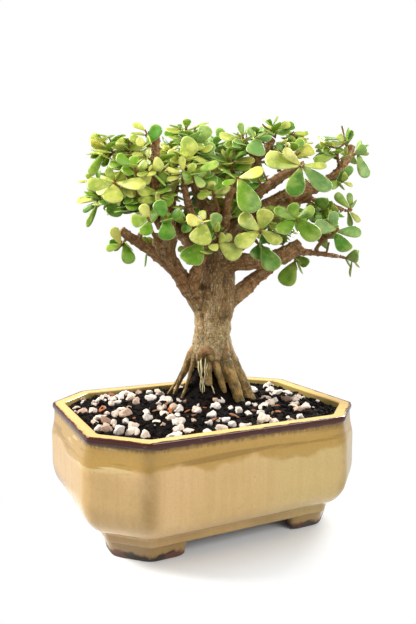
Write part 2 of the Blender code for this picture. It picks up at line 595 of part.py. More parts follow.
def root_clearance(place, roots):
    """Least distance in metres from a place on the soil to any root's skin, at several heights."""
    offset = (place - np.array(TREE_FOOT)) / MM
    cosine, sine = math.cos(-TREE_TURN), math.sin(-TREE_TURN)
    x = offset[:, 0] * cosine - offset[:, 1] * sine
    y = offset[:, 0] * sine + offset[:, 1] * cosine
    probes = np.array([(x[0], y[0], level) for level in ROOT_PROBE_LEVELS])
    return min(chain_gap(probes, route).min() for route in roots.values()) * MM


def build_soil(collection, material, wood, roots):
    """The soil with stones standing out of its surface and plain holes where the roots enter."""
    soil = place_mesh("soil", mesh_from(soil_body(), "soil"), collection, material)
    stones = working_collection("stones")
    draw = random.Random(STONE_SEED + 1)
    for x, y, size in stone_places(roots):
        stone = bmesh.new()
        bmesh.ops.create_cone(stone, segments=STONE_SIDES, radius1=size, radius2=0.0, depth=size, cap_ends=True)
        peak = size * draw.uniform(*STONE_PEAK)
        for vert in stone.verts:
            if vert.co.z > 0.0:
                lean = (draw.uniform(-STONE_LEAN, STONE_LEAN) * size, draw.uniform(-STONE_LEAN, STONE_LEAN) * size)
                vert.co = Vector((*lean, peak))
            else:
                vert.co.z = -size * STONE_BURIED
                vert.co *= draw.uniform(*STONE_ROUGHNESS)
        bmesh.ops.scale(stone, vec=(draw.uniform(*STONE_LENGTHS), draw.uniform(*STONE_LENGTHS), 1.0), verts=stone.verts)
        turn = Matrix.Rotation(draw.uniform(0, 2 * math.pi), 3, "Z")
        bmesh.ops.rotate(stone, matrix=turn, verts=stone.verts)
        bmesh.ops.translate(stone, vec=(x, y, soil_height(x, y)), verts=stone.verts)
        place_mesh("stone", mesh_from(stone, "stone"), stones)
    join_pieces(soil, stones)
    holes = working_collection("root_holes")
    for name, route in [("trunk", wood["trunk"])] + list(roots.items()):
        tube(name + "_hole", lengthened(route), holes, sides_for(route), HOLE_GROWTH)
    join_pieces(soil, holes, "DIFFERENCE")
    return soil


def lengthened(route):
    """A route whose two ends run on by a small gap, so that a hole is deeper than its root."""
    longer = route.copy()
    longer[0, :3] += unit(route[0, :3] - route[1, :3]) * HOLE_GROWTH / MM
    longer[-1, :3] += unit(route[-1, :3] - route[-2, :3]) * HOLE_GROWTH / MM
    return longer


def limb_place(route, share):
    """The point, tangent and radius at a share of a route's length."""
    lengths = np.linalg.norm(np.diff(route[:, :3], axis=0), axis=1)
    reach = np.concatenate(([0.0], np.cumsum(lengths)))
    target = share * reach[-1]
    index = min(np.searchsorted(reach, target, side="right") - 1, len(lengths) - 1)
    part = (target - reach[index]) / lengths[index]
    point = route[index] + (route[index + 1] - route[index]) * part
    return point[:3], unit(route[index + 1, :3] - route[index, :3]), point[3]


def share_below_tip(route, distance):
    """The share of a route's length that lies a distance below its tip, kept off its foot."""
    length = np.linalg.norm(np.diff(route[:, :3], axis=0), axis=1).sum()
    return max(LEAST_SHARE, 1.0 - distance / length)


def twig_route(route, share, tip, bulge):
    """A twig that leaves its limb squarely and bends over to its tip, its foot a small gap off the limb."""
    point, tangent, radius = limb_place(route, share)
    tip = np.array(tip, dtype=float)
    toward = tip - point
    out = tangent if share >= 1.0 else unit(toward - tangent * (toward @ tangent))
    seat = TWIG_SEAT if share >= 1.0 else radius + TWIG_SEAT
    for _ in range(SEAT_ROUNDS):
        twig = bent_twig(point + out * seat, out, tip, bulge, radius)
        rim = foot_rim(twig)
        gap = ((rim - point) @ tangent).min() if share >= 1.0 else chain_gap(rim, route).min()
        seat += max(0.0, TWIG_SEAT - gap)
    return twig


def foot_rim(twig):
    """Points round the flat end of a twig's foot."""
    heading = unit(twig[1, :3] - twig[0, :3])
    side = unit(np.cross(heading, UP + 0.5 * TO_FRONT))
    other = np.cross(heading, side)
    turns = np.linspace(0.0, 2 * math.pi, 8, endpoint=False)[:, None]
    return twig[0, :3] + twig[0, 3] * (side * np.cos(turns) + other * np.sin(turns))


def bent_twig(start, out, tip, bulge, radius):
    """The route of a twig from its foot to its tip: a cubic curve, thinner towards the tip."""
    reach = np.linalg.norm(tip - start)
    bend_from = start + out * reach * TWIG_BEND[0] + bulge / 2
    arrive = unit(unit(tip - start) + TWIG_RISE * UP)
    bend_to = tip - arrive * reach * TWIG_BEND[1] + bulge
    steps = np.linspace(0.0, 1.0, TWIG_STEPS + 1)[:, None]
    curve = (start * (1 - steps) ** 3 + 3 * bend_from * steps * (1 - steps) ** 2
             + 3 * bend_to * steps ** 2 * (1 - steps) + tip * steps ** 3)
    thick = min(radius * TWIG_LIMB_SHARE, TWIG_FOOT_RADIUS + TWIG_STOUTNESS * reach)
    radii = thick + (TWIG_TIP_RADIUS - thick) * steps ** 0.8
    return np.hstack((curve, radii))


def twig_is_clear(twig, own, wood, twigs):
    """Whether a twig keeps off every limb and every earlier twig."""
    fine = smooth_route(twig, 4)
    for name, route in wood.items():
        tested = fine[6:] if name == own else fine[1:]
        if (chain_gap(tested[:, :3], route) - tested[:, 3]).min() < TWIG_ROOM:
            return False
    return all((chain_gap(fine[:, :3], other) - fine[:, 3]).min() > TWIG_ROOM for other in twigs)


def lay_twigs(wood):
    """Every spray's twig, bent clear of the limbs and of the twigs before it."""
    twigs = []
    bends = [np.zeros(3)]
    for amount in TWIG_DETOURS:
        for angle in np.arange(8) * math.pi / 4:
            bends.append(amount * np.array((math.cos(angle), 0.35 * math.cos(2 * angle), math.sin(angle))))
        bends += [np.array((0.0, amount, 0.0)), np.array((0.0, -amount, 0.0))]
    for limb, share, tip, _ in SPRAYS:
        tries = [twig_route(wood[limb], share, tip, bend) for bend in bends]
        clear = [twig for twig in tries if twig_is_clear(twig, limb, wood, twigs)]
        twigs.append(clear[0] if clear else tries[0])
    return twigs


def leaf_outline(angle):
    """The outline of a leaf by an angle from its base: share of its length, share of its half width."""
    along = ((1 - math.cos(angle)) / 2) ** LEAF_STRETCH
    return along, math.sin(angle) * (1 - LEAF_SHOULDER * math.cos(angle))


class Leaf:
    """One leaf: where it springs from, the way it points, its face and its size in millimetres."""

    def __init__(self, spray, base, point_to, face, length, width):
        """Squares the face to the pointing direction and fixes the thickness."""
        self.spray = spray
        self.base = base
        self.along = unit(point_to)
        self.face = unit(face - self.along * (face @ self.along))
        self.side = np.cross(self.face, self.along)
        self.length = length
        self.width = width
        self.thickness = LEAF_THICKNESS[0] + LEAF_THICKNESS[1] * length

    def point(self, along, across, rise):
        """A point of the leaf from its shares of length and width and its height over the face."""
        curve = -LEAF_DROOP * self.length * along ** 2
        return (self.base + self.along * self.length * along + self.side * self.width / 2 * across
                + self.face * (rise + curve))

    def probes(self):
        """Points spread over the leaf, and how thick the leaf is at each, for clearance tests."""
        places, halves = [], []
        for turn in (50.0, 70.0, 90.0, 110.0, 130.0, 150.0, 172.0):
            along, half = leaf_outline(math.radians(turn))
            for across in np.linspace(-1.0, 1.0, PROBES_ACROSS):
                places.append(self.point(along, across * half, 0.0))
                halves.append(self.thickness / 2 * (1 - 0.85 * abs(across)) * (1 - 2.4 * (along - LEAF_RIDGE) ** 2))
        return np.array(places), np.array(halves)


def leaf_is_clear(leaf, placed, wood, twigs):
    """Whether a leaf keeps off the limbs, the other twigs and the leaves placed before it."""
    places, halves = leaf.probes()
    middle = leaf.base + leaf.along * leaf.length / 2
    for route in wood.values():
        if (chain_gap(places, route) - halves).min() < WOOD_ROOM:
            return False
    for number, twig in enumerate(twigs):
        if number != leaf.spray and (chain_gap(places, twig) - halves).min() < WOOD_ROOM:
            return False
    for other, other_places, other_halves in placed:
        far = np.linalg.norm(other.base + other.along * other.length / 2 - middle)
        if far > (leaf.length + other.length) / 2 + 4.0:
            continue
        same = other.spray == leaf.spray
        first = PROBES_ACROSS if same else 0
        apart = np.linalg.norm(places[first:, None] - other_places[None, first:], axis=-1)
        room = halves[first:, None] + other_halves[None, first:] + (OWN_ROOM if same else OTHER_ROOM)
        if (apart - room).min() < 0:
            return False
    return True


def turned(leaf, swing, roll, size):
    """The same leaf swung about its side, rolled about its length and resized."""
    swing, roll = math.radians(swing), math.radians(roll)
    along = leaf.along * math.cos(swing) + leaf.face * math.sin(swing)
    face = leaf.face * math.cos(swing) - leaf.along * math.sin(swing)
    side = np.cross(face, along)
    face = face * math.cos(roll) + side * math.sin(roll)
    return Leaf(leaf.spray, leaf.base, along, face, leaf.length * size, leaf.width * size)


def place_leaf(leaf, placed, wood, twigs, tries):
    """Adds the first turned version of a leaf that is clear, if there is one."""
    for swing, roll, size in tries:
        candidate = turned(leaf, swing, roll, size)
        if leaf_is_clear(candidate, placed, wood, twigs):
            placed.append((candidate, *candidate.probes()))
            return


def shown_leaf(number, twig, order, far, width, turned_to):
    """A leaf set by its far end, with its face or its edge to the tree's front."""
    base, _, _ = limb_place(twig, share_below_tip(twig, SHOWN_FIRST + SHOWN_SPACING * order))
    reach = np.array(far, dtype=float) - base
    if turned_to == EDGE:
        face = np.cross(reach, TO_FRONT)
        face = face * (1.0 if face[2] >= 0 else -1.0) + EDGE_TILT * TO_FRONT * np.linalg.norm(face)
    else:
        face = TO_FRONT + FACE_LIFT * UP
    return Leaf(number, base, reach, face, np.linalg.norm(reach), width)


def paired_leaves(number, twig, level, draw):
    """The two opposite leaves at one level below a twig's tip, each pair square to the last."""
    point, tangent, _ = limb_place(twig, share_below_tip(twig, SHOWN_FIRST + level * PAIR_SPACING))
    across = unit(np.cross(tangent, UP + 0.3 * TO_FRONT))
    other = np.cross(tangent, across)
    spin = draw.uniform(-PAIR_SPIN, PAIR_SPIN) + level * math.pi / 2 + number * SPRAY_SPIN
    open_to = math.radians(TURNS_OUT[level] + draw.uniform(-PAIR_OPENING, PAIR_OPENING))
    length = LEAF_LENGTH * PAIR_SIZES[level] * draw.uniform(*PAIR_SIZE_SPREAD)
    leaves = []
    for half_turn in (0.0, math.pi):
        radial = across * math.cos(spin + half_turn) + other * math.sin(spin + half_turn)
        along = tangent * math.cos(open_to) + radial * math.sin(open_to)
        face = tangent + PAIR_FACE_LIFT * UP
        leaves.append(Leaf(number, point, along, face, length, length * LEAF_BROADNESS))
    return leaves


def grow_leaves(wood, twigs):
    """All leaves: the ones set one by one first, then the opposite pairs, level by level."""
    placed = []
    for number, (_, _, _, shown) in enumerate(SPRAYS):
        for order, (far, width, turned_to) in enumerate(shown):
            leaf = shown_leaf(number, twigs[number], order, far, width, turned_to)
            place_leaf(leaf, placed, wood, twigs, CAREFUL_TRIES)
    for level in range(len(PAIR_SIZES)):
        for number, (_, _, _, shown) in enumerate(SPRAYS):
            draw = random.Random(LEAF_SEED * 1000 + number * 10 + level)
            if len(shown) > SHOWN_ENOUGH[level]:
                continue
            for leaf in paired_leaves(number, twigs[number], level, draw):
                place_leaf(leaf, placed, wood, twigs, FREE_TRIES)
    return [leaf for leaf, _, _ in placed]


def leaf_mesh(leaf):
    """A leaf from a coarse sphere: its equator drawn out to the leaf's outline, narrow at the base."""
    bm = bmesh.new()
    segments = 9 if leaf.length > LONG_LEAF else 7
    bmesh.ops.create_uvsphere(bm, u_segments=segments, v_segments=2, radius=1.0)
    equator = [vert for vert in bm.verts if abs(vert.co.z) < 0.5]
    base_angle = math.atan2(equator[0].co.y, equator[0].co.x)
    tip_reach = leaf_outline(math.pi * (1 - 1 / segments))[0]
    for vert in bm.verts:
        if vert in equator:
            along, across = leaf_outline(math.atan2(vert.co.y, vert.co.x) - base_angle)
            place = leaf.point(along / tip_reach, across, 0.0)
        else:
            place = leaf.point(LEAF_RIDGE, 0.0, math.copysign(leaf.thickness / 2, vert.co.z))
        vert.co = tree_to_world(place)
    return mesh_from(bm, "leaf")


def build_spray(name, collection, material, twig, leaves):
    """One spray: its twig with every leaf sunk into it, joined in one piece."""
    spray = tube(name, twig, collection, 0)
    spray.data.materials.append(material)
    blades = working_collection(name + "_leaves")
    for leaf in leaves:
        place_mesh("leaf", leaf_mesh(leaf), blades)
    join_pieces(spray, blades)
    return spray


def centre_over_origin(things, carrier):
    """Shades every piece and carries all on one empty, so that the whole stands centred over the origin."""
    bpy.context.view_layer.update()
    corners = np.array([thing.matrix_world @ vert.co for thing in things for vert in thing.data.vertices])
    middle = (corners.min(axis=0) + corners.max(axis=0)) / 2
    for thing in things:
        shade_round(thing.data)
        thing.parent = carrier
    carrier.location = (-middle[0], -middle[1], -corners[:, 2].min())


def main():
    """Builds the bonsai from the pot up."""
    for thing in list(bpy.data.objects):
        bpy.data.objects.remove(thing)
    bonsai = working_collection("elephant_bush_bonsai")
    glaze = finish_material("straw_glaze", (0.66, 0.49, 0.24), 0.22)
    earth = finish_material("soil_and_pumice", (0.06, 0.045, 0.035), 0.95)
    bark = finish_material("bark", (0.25, 0.17, 0.09), 0.75)
    green = finish_material("leaf_green", (0.27, 0.44, 0.08), 0.42)
    wood, roots = wood_routes(), root_routes()
    twigs = lay_twigs(wood)
    leaves = grow_leaves(wood, twigs)
    things = [build_pot(bonsai, glaze), build_soil(bonsai, earth, wood, roots),
              build_trunk(bonsai, bark, wood, roots)]
    for number, twig in enumerate(twigs):
        own = [leaf for leaf in leaves if leaf.spray == number]
        things.append(build_spray(f"spray_{number + 1:02d}", bonsai, green, twig, own))
    carrier = bpy.data.objects.new("bonsai", None)
    bonsai.objects.link(carrier)
    centre_over_origin(things, carrier)


main()
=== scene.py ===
"""The looks of an elephant bush bonsai: glazed pot, soil with pumice, carved bark and fleshy leaves.

Every shape is worked out with numpy from the same named sizes as the solids that it stands for.
The tree is measured in its own frame, in millimetres from the middle of the trunk's foot: x runs
across the tree's front, y runs away from its front, and z runs up. All finished meshes are in metres.
"""

import logging
import math
import random
from dataclasses import dataclass, field
from enum import Enum

import bpy
import numpy as np
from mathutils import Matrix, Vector


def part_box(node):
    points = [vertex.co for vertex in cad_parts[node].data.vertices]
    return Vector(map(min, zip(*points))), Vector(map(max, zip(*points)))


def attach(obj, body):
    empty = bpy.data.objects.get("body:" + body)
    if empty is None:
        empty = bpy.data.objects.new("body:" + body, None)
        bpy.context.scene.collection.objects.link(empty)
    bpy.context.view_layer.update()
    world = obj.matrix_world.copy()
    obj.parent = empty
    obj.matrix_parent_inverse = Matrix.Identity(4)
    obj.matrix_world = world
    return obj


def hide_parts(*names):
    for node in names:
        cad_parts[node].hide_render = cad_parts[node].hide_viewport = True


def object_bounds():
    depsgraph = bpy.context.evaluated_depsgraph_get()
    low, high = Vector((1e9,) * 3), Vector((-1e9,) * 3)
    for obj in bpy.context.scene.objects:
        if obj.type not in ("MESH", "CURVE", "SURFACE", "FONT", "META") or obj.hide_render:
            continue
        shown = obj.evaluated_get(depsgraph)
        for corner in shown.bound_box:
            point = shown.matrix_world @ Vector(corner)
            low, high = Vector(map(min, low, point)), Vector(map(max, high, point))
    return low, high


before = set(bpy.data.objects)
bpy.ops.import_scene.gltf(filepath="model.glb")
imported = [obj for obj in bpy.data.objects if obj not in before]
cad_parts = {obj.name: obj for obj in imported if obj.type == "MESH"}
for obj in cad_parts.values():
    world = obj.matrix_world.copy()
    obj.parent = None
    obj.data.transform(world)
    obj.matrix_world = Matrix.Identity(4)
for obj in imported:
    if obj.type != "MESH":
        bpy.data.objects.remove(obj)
CAD_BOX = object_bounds()

MM = 0.001
UP = np.array((0.0, 0.0, 1.0))
TO_FRONT = np.array((0.0, -1.0, 0.0))
Colour = tuple[float, float, float]
Point = tuple[float, float, float]
LOG = logging.getLogger("bonsai")


class Turned(Enum):
    """Which part of a leaf is turned to the tree's front."""

    FACE = "face"
    EDGE = "edge"


class Tone(Enum):
    """The green of a leaf, from its age and its share of sun."""

    YELLOW = (0.800, 0.740, 0.150)
    PALE = (0.540, 0.610, 0.090)
    MID = (0.195, 0.400, 0.012)
    DEEP = (0.080, 0.285, 0.005)
    BLUE = (0.235, 0.450, 0.110)


FACE, EDGE = Turned.FACE, Turned.EDGE

# Trunk, roots and limbs: points of (x, y, z, radius) in millimetres in the tree's frame
TRUNK = (
    (-1, 3, 23, 11.5), (-1, 2, 30, 15.0), (0, 1, 37, 16.0), (0, 0, 47, 13.8), (1, 0, 59, 13.3),
    (2, 0, 70, 14.6), (3, 0, 84, 13.8), (5, 0, 97, 12.0), (7, 0, 110, 10.5), (7, 0, 122, 8.5),
)
LIMBS = {
    "left_limb": ((-3, 0, 68, 9), (-11, -4, 78, 8.2), (-19, -9, 88, 6.3), (-26, -13, 98, 5.6),
                  (-32, -16, 106, 6.8), (-34, -18, 114, 8.0), (-33, -18, 123, 8.8)),
    "left_cut": ((-33, -17, 103, 4.2), (-44, -20, 112, 3.7), (-53, -23, 118, 3.4), (-64, -26, 126, 3.3)),
    "left_cut_stub": ((-53, -23, 118, 2.0), (-49, -24, 127, 1.8)),
    "left_upright": ((-31, -18, 119, 5.5), (-32, -18, 133, 4.2), (-37, -18, 147, 3.6), (-41, -20, 158, 3.3),
                     (-40, -20, 175, 3.1), (-39, -22, 192, 3.0)),
    "left_back": ((-31, -12, 117, 4.8), (-31, -2, 142, 3.6), (-28, 8, 159, 3.1), (-28, 14, 178, 2.4)),
    "left_side": ((-37, -19, 146, 3.4), (-46, -22, 151, 3.0), (-56, -23, 155, 2.6), (-64, -25, 159, 2.1)),
    "left_side_back": ((-33, -10, 126, 3.8), (-46, 0, 140, 3.1), (-61, 5, 146, 2.6), (-75, 8, 150, 2.1)),
    "left_top": ((-40, -20, 167, 2.8), (-50, -14, 173, 2.5), (-60, -10, 178, 2.2), (-70, -8, 182, 2.0)),
    "centre_left": ((-15, -7, 81, 5.5), (-13, -14, 93, 4.2), (-8, -17, 105, 3.8), (-6, -19, 116, 3.4),
                    (-10, -21, 129, 3.1), (-16, -21, 142, 2.8), (-20, -23, 158, 2.4)),
    "stump_limb": ((6, -2, 118, 8.2), (2, -8, 131, 7.2), (-2, -14, 143, 6.5)),
    "left_inner": ((0, -4, 130, 5.4), (-4, 0, 143, 4.4), (-11, 4, 157, 3.8), (-17, 7, 172, 3.2),
                   (-19, 8, 188, 2.2)),
    "right_low": ((6, 4, 70, 8.0), (20, 4, 80, 6.2), (33, 6, 91, 5.2), (44, 8, 100, 4.6), (55, 8, 109, 4.2),
                  (62, 6, 115, 3.6)),
    "right_mid": ((8, -4, 101, 8.0), (20, -10, 104, 6.4), (32, -14, 104, 6.0), (43, -16, 106, 6.1),
                  (54, -17, 110, 5.8), (64, -18, 116, 5.4)),
    "thin_right": ((60, -18, 111, 3.2), (69, -18, 111, 2.4), (77, -18, 110, 2.1), (84, -18, 109, 1.9),
                   (91, -18, 108, 1.7)),
    "right_upper": ((7, -2, 116, 8.6), (18, -6, 127, 7.5), (28, -8, 134, 6.7), (38, -10, 142, 6.1),
                    (50, -10, 149, 5.7), (61, -10, 155, 5.2), (75, -8, 158, 4.5)),
    "red_branch": ((73, -8, 157, 4.2), (83, -8, 162, 3.7), (91, -8, 168, 3.4), (97, -8, 178, 3.3),
                   (101, -8, 188, 3.2)),
    "right_inner": ((17, 0, 125, 5.2), (38, 4, 133, 4.4), (55, 8, 145, 3.9), (67, 8, 151, 3.6),
                    (74, 8, 156, 3.3)),
    "right_thin": ((68, 8, 151, 2.8), (84, 10, 149, 2.2), (100, 10, 143, 1.7)),
    "top_branch": ((8, 0, 120, 6.4), (15, 2, 142, 4.6), (20, 4, 159, 3.8), (30, 4, 175, 3.3),
                   (39, 2, 186, 3.0), (45, 0, 194, 2.5)),
    "right_front": ((29, -8, 136, 5.0), (32, -16, 152, 3.9), (43, -20, 160, 3.6), (52, -23, 166, 3.3),
                    (60, -26, 171, 3.0)),
    "centre_front": ((6, -4, 122, 5.4), (10, -16, 136, 3.5), (11, -24, 147, 2.8), (15, -29, 156, 2.3)),
    "back_left": ((2, 4, 96, 8.0), (-12, 22, 112, 5.6), (-26, 36, 128, 4.6), (-38, 46, 145, 3.8),
                  (-44, 52, 161, 2.9)),
    "back_right": ((7, 4, 102, 7.6), (22, 22, 118, 5.4), (38, 36, 132, 4.4), (54, 44, 145, 3.6),
                   (66, 50, 158, 2.7)),
    "back_top": ((7, 3, 118, 6.4), (6, 18, 138, 4.6), (3, 30, 158, 3.6), (6, 38, 178, 2.6)),
    "back_low": ((4, 6, 82, 7.5), (6, 26, 97, 4.8), (4, 42, 109, 4.0), (8, 57, 121, 2.9)),
}
ROOTS = {
    "front_thick": ((8, -6, 42, 5.2), (11, -11, 28, 4.5), (16, -11, 15, 4.3), (20, -10, 2, 4.1),
                    (23, -10, -9, 3.4)),
    "right_thick": ((8, 0, 44, 4.2), (14, -1, 31, 4.8), (20, 0, 19, 4.6), (28, 2, 3, 4.2), (33, 3, -9, 3.2)),
    "front_slim": ((1, -10, 38, 3.6), (4, -13, 24, 2.7), (8, -12, 12, 2.6), (10, -9, 0, 2.4), (11, -7, -8, 2.0)),
    "red_stub": ((-3, -11, 35, 3.2), (-3, -14, 24, 2.8), (-2, -14, 13, 2.9)),
    "knot": ((-10, -12, 32, 2.4), (-8, -15, 37, 2.8), (-3, -15, 39, 3.0), (0, -13, 33, 2.6)),
    "pale_front": ((-9, -12, 34, 1.3), (-7, -14, 19, 1.2), (-9, -9, 4, 1.1), (-10, -6, -7, 1.0)),
    "pale_inner": ((-6, -13, 34, 1.2), (-7, -14, 24, 1.1), (-5, -12, 12, 1.1), (-6, -8, 2, 1.0), (-7, -6, -7, 1.0)),
    "pale_right": ((-1, -13, 15, 1.2), (2, -12, 7, 1.1), (6, -12, 0, 1.0), (8, -12, -6, 0.9)),
    "left_red": ((-12, -2, 38, 4.6), (-17, -1, 30, 3.5), (-21, 2, 20, 2.4), (-27, 9, 7, 1.7), (-31, 14, -7, 1.4)),
    "left_dark": ((-14, 3, 36, 3.2), (-20, 7, 24, 2.0), (-27, 14, 11, 1.5), (-34, 20, 0, 1.3), (-38, 24, -8, 1.2)),
    "left_slim": ((-13, -7, 34, 2.6), (-16, -9, 22, 1.6), (-20, -8, 9, 1.4), (-24, -6, -2, 1.2), (-26, -5, -8, 1.1)),
    "back_1": ((10, 8, 40, 5.4), (17, 12, 25, 4.2), (23, 15, 12, 3.8), (29, 19, 0, 3.4), (32, 21, -8, 2.8)),
    "back_2": ((2, 12, 40, 5.0), (6, 18, 25, 3.9), (9, 23, 12, 3.5), (12, 29, 0, 3.1), (14, 32, -8, 2.6)),
    "back_3": ((-7, 10, 40, 4.8), (-9, 17, 25, 3.6), (-11, 23, 12, 3.1), (-15, 29, 0, 2.7), (-17, 32, -8, 2.3)),
}
HAIR_ROOTS = (
    ((-10, -13, 33, 0.5), (-10, -15.5, 27, 0.4), (-8.6, -16, 20, 0.34), (-7.2, -15.5, 13, 0.15)),
    ((-8, -14, 35, 0.56), (-8.2, -17, 28, 0.46), (-7, -16.5, 18, 0.4), (-7, -15, 9, 0.37), (-8.4, -12, 1, 0.37),
     (-9, -10, -6, 0.31)),
    ((-5, -14, 34, 0.5), (-5.2, -17.2, 26, 0.4), (-5.8, -16.5, 17, 0.34), (-5.4, -14, 8, 0.31), (-5, -11, -5, 0.25)),
    ((-9, -14, 34, 0.43), (-7.4, -17, 24, 0.31), (-8.6, -15.5, 14, 0.28), (-6, -12.5, 3, 0.28), (-5.5, -10, -6, 0.25)),
    ((-3.6, -13.5, 33, 0.37), (-4, -16.8, 27, 0.31), (-3.8, -16.6, 21, 0.19)),
    ((-1, -14, 16, 0.56), (0.6, -16, 10, 0.46), (2.4, -15, 4, 0.5), (6, -14, -1.5, 0.62), (8, -13, -6, 0.5)),
)
AERIAL_ROOT = ((11, -4, 132, 0.8), (12, -9, 122, 0.7), (13, -12, 115, 0.6), (13, -12, 110, 0.5))

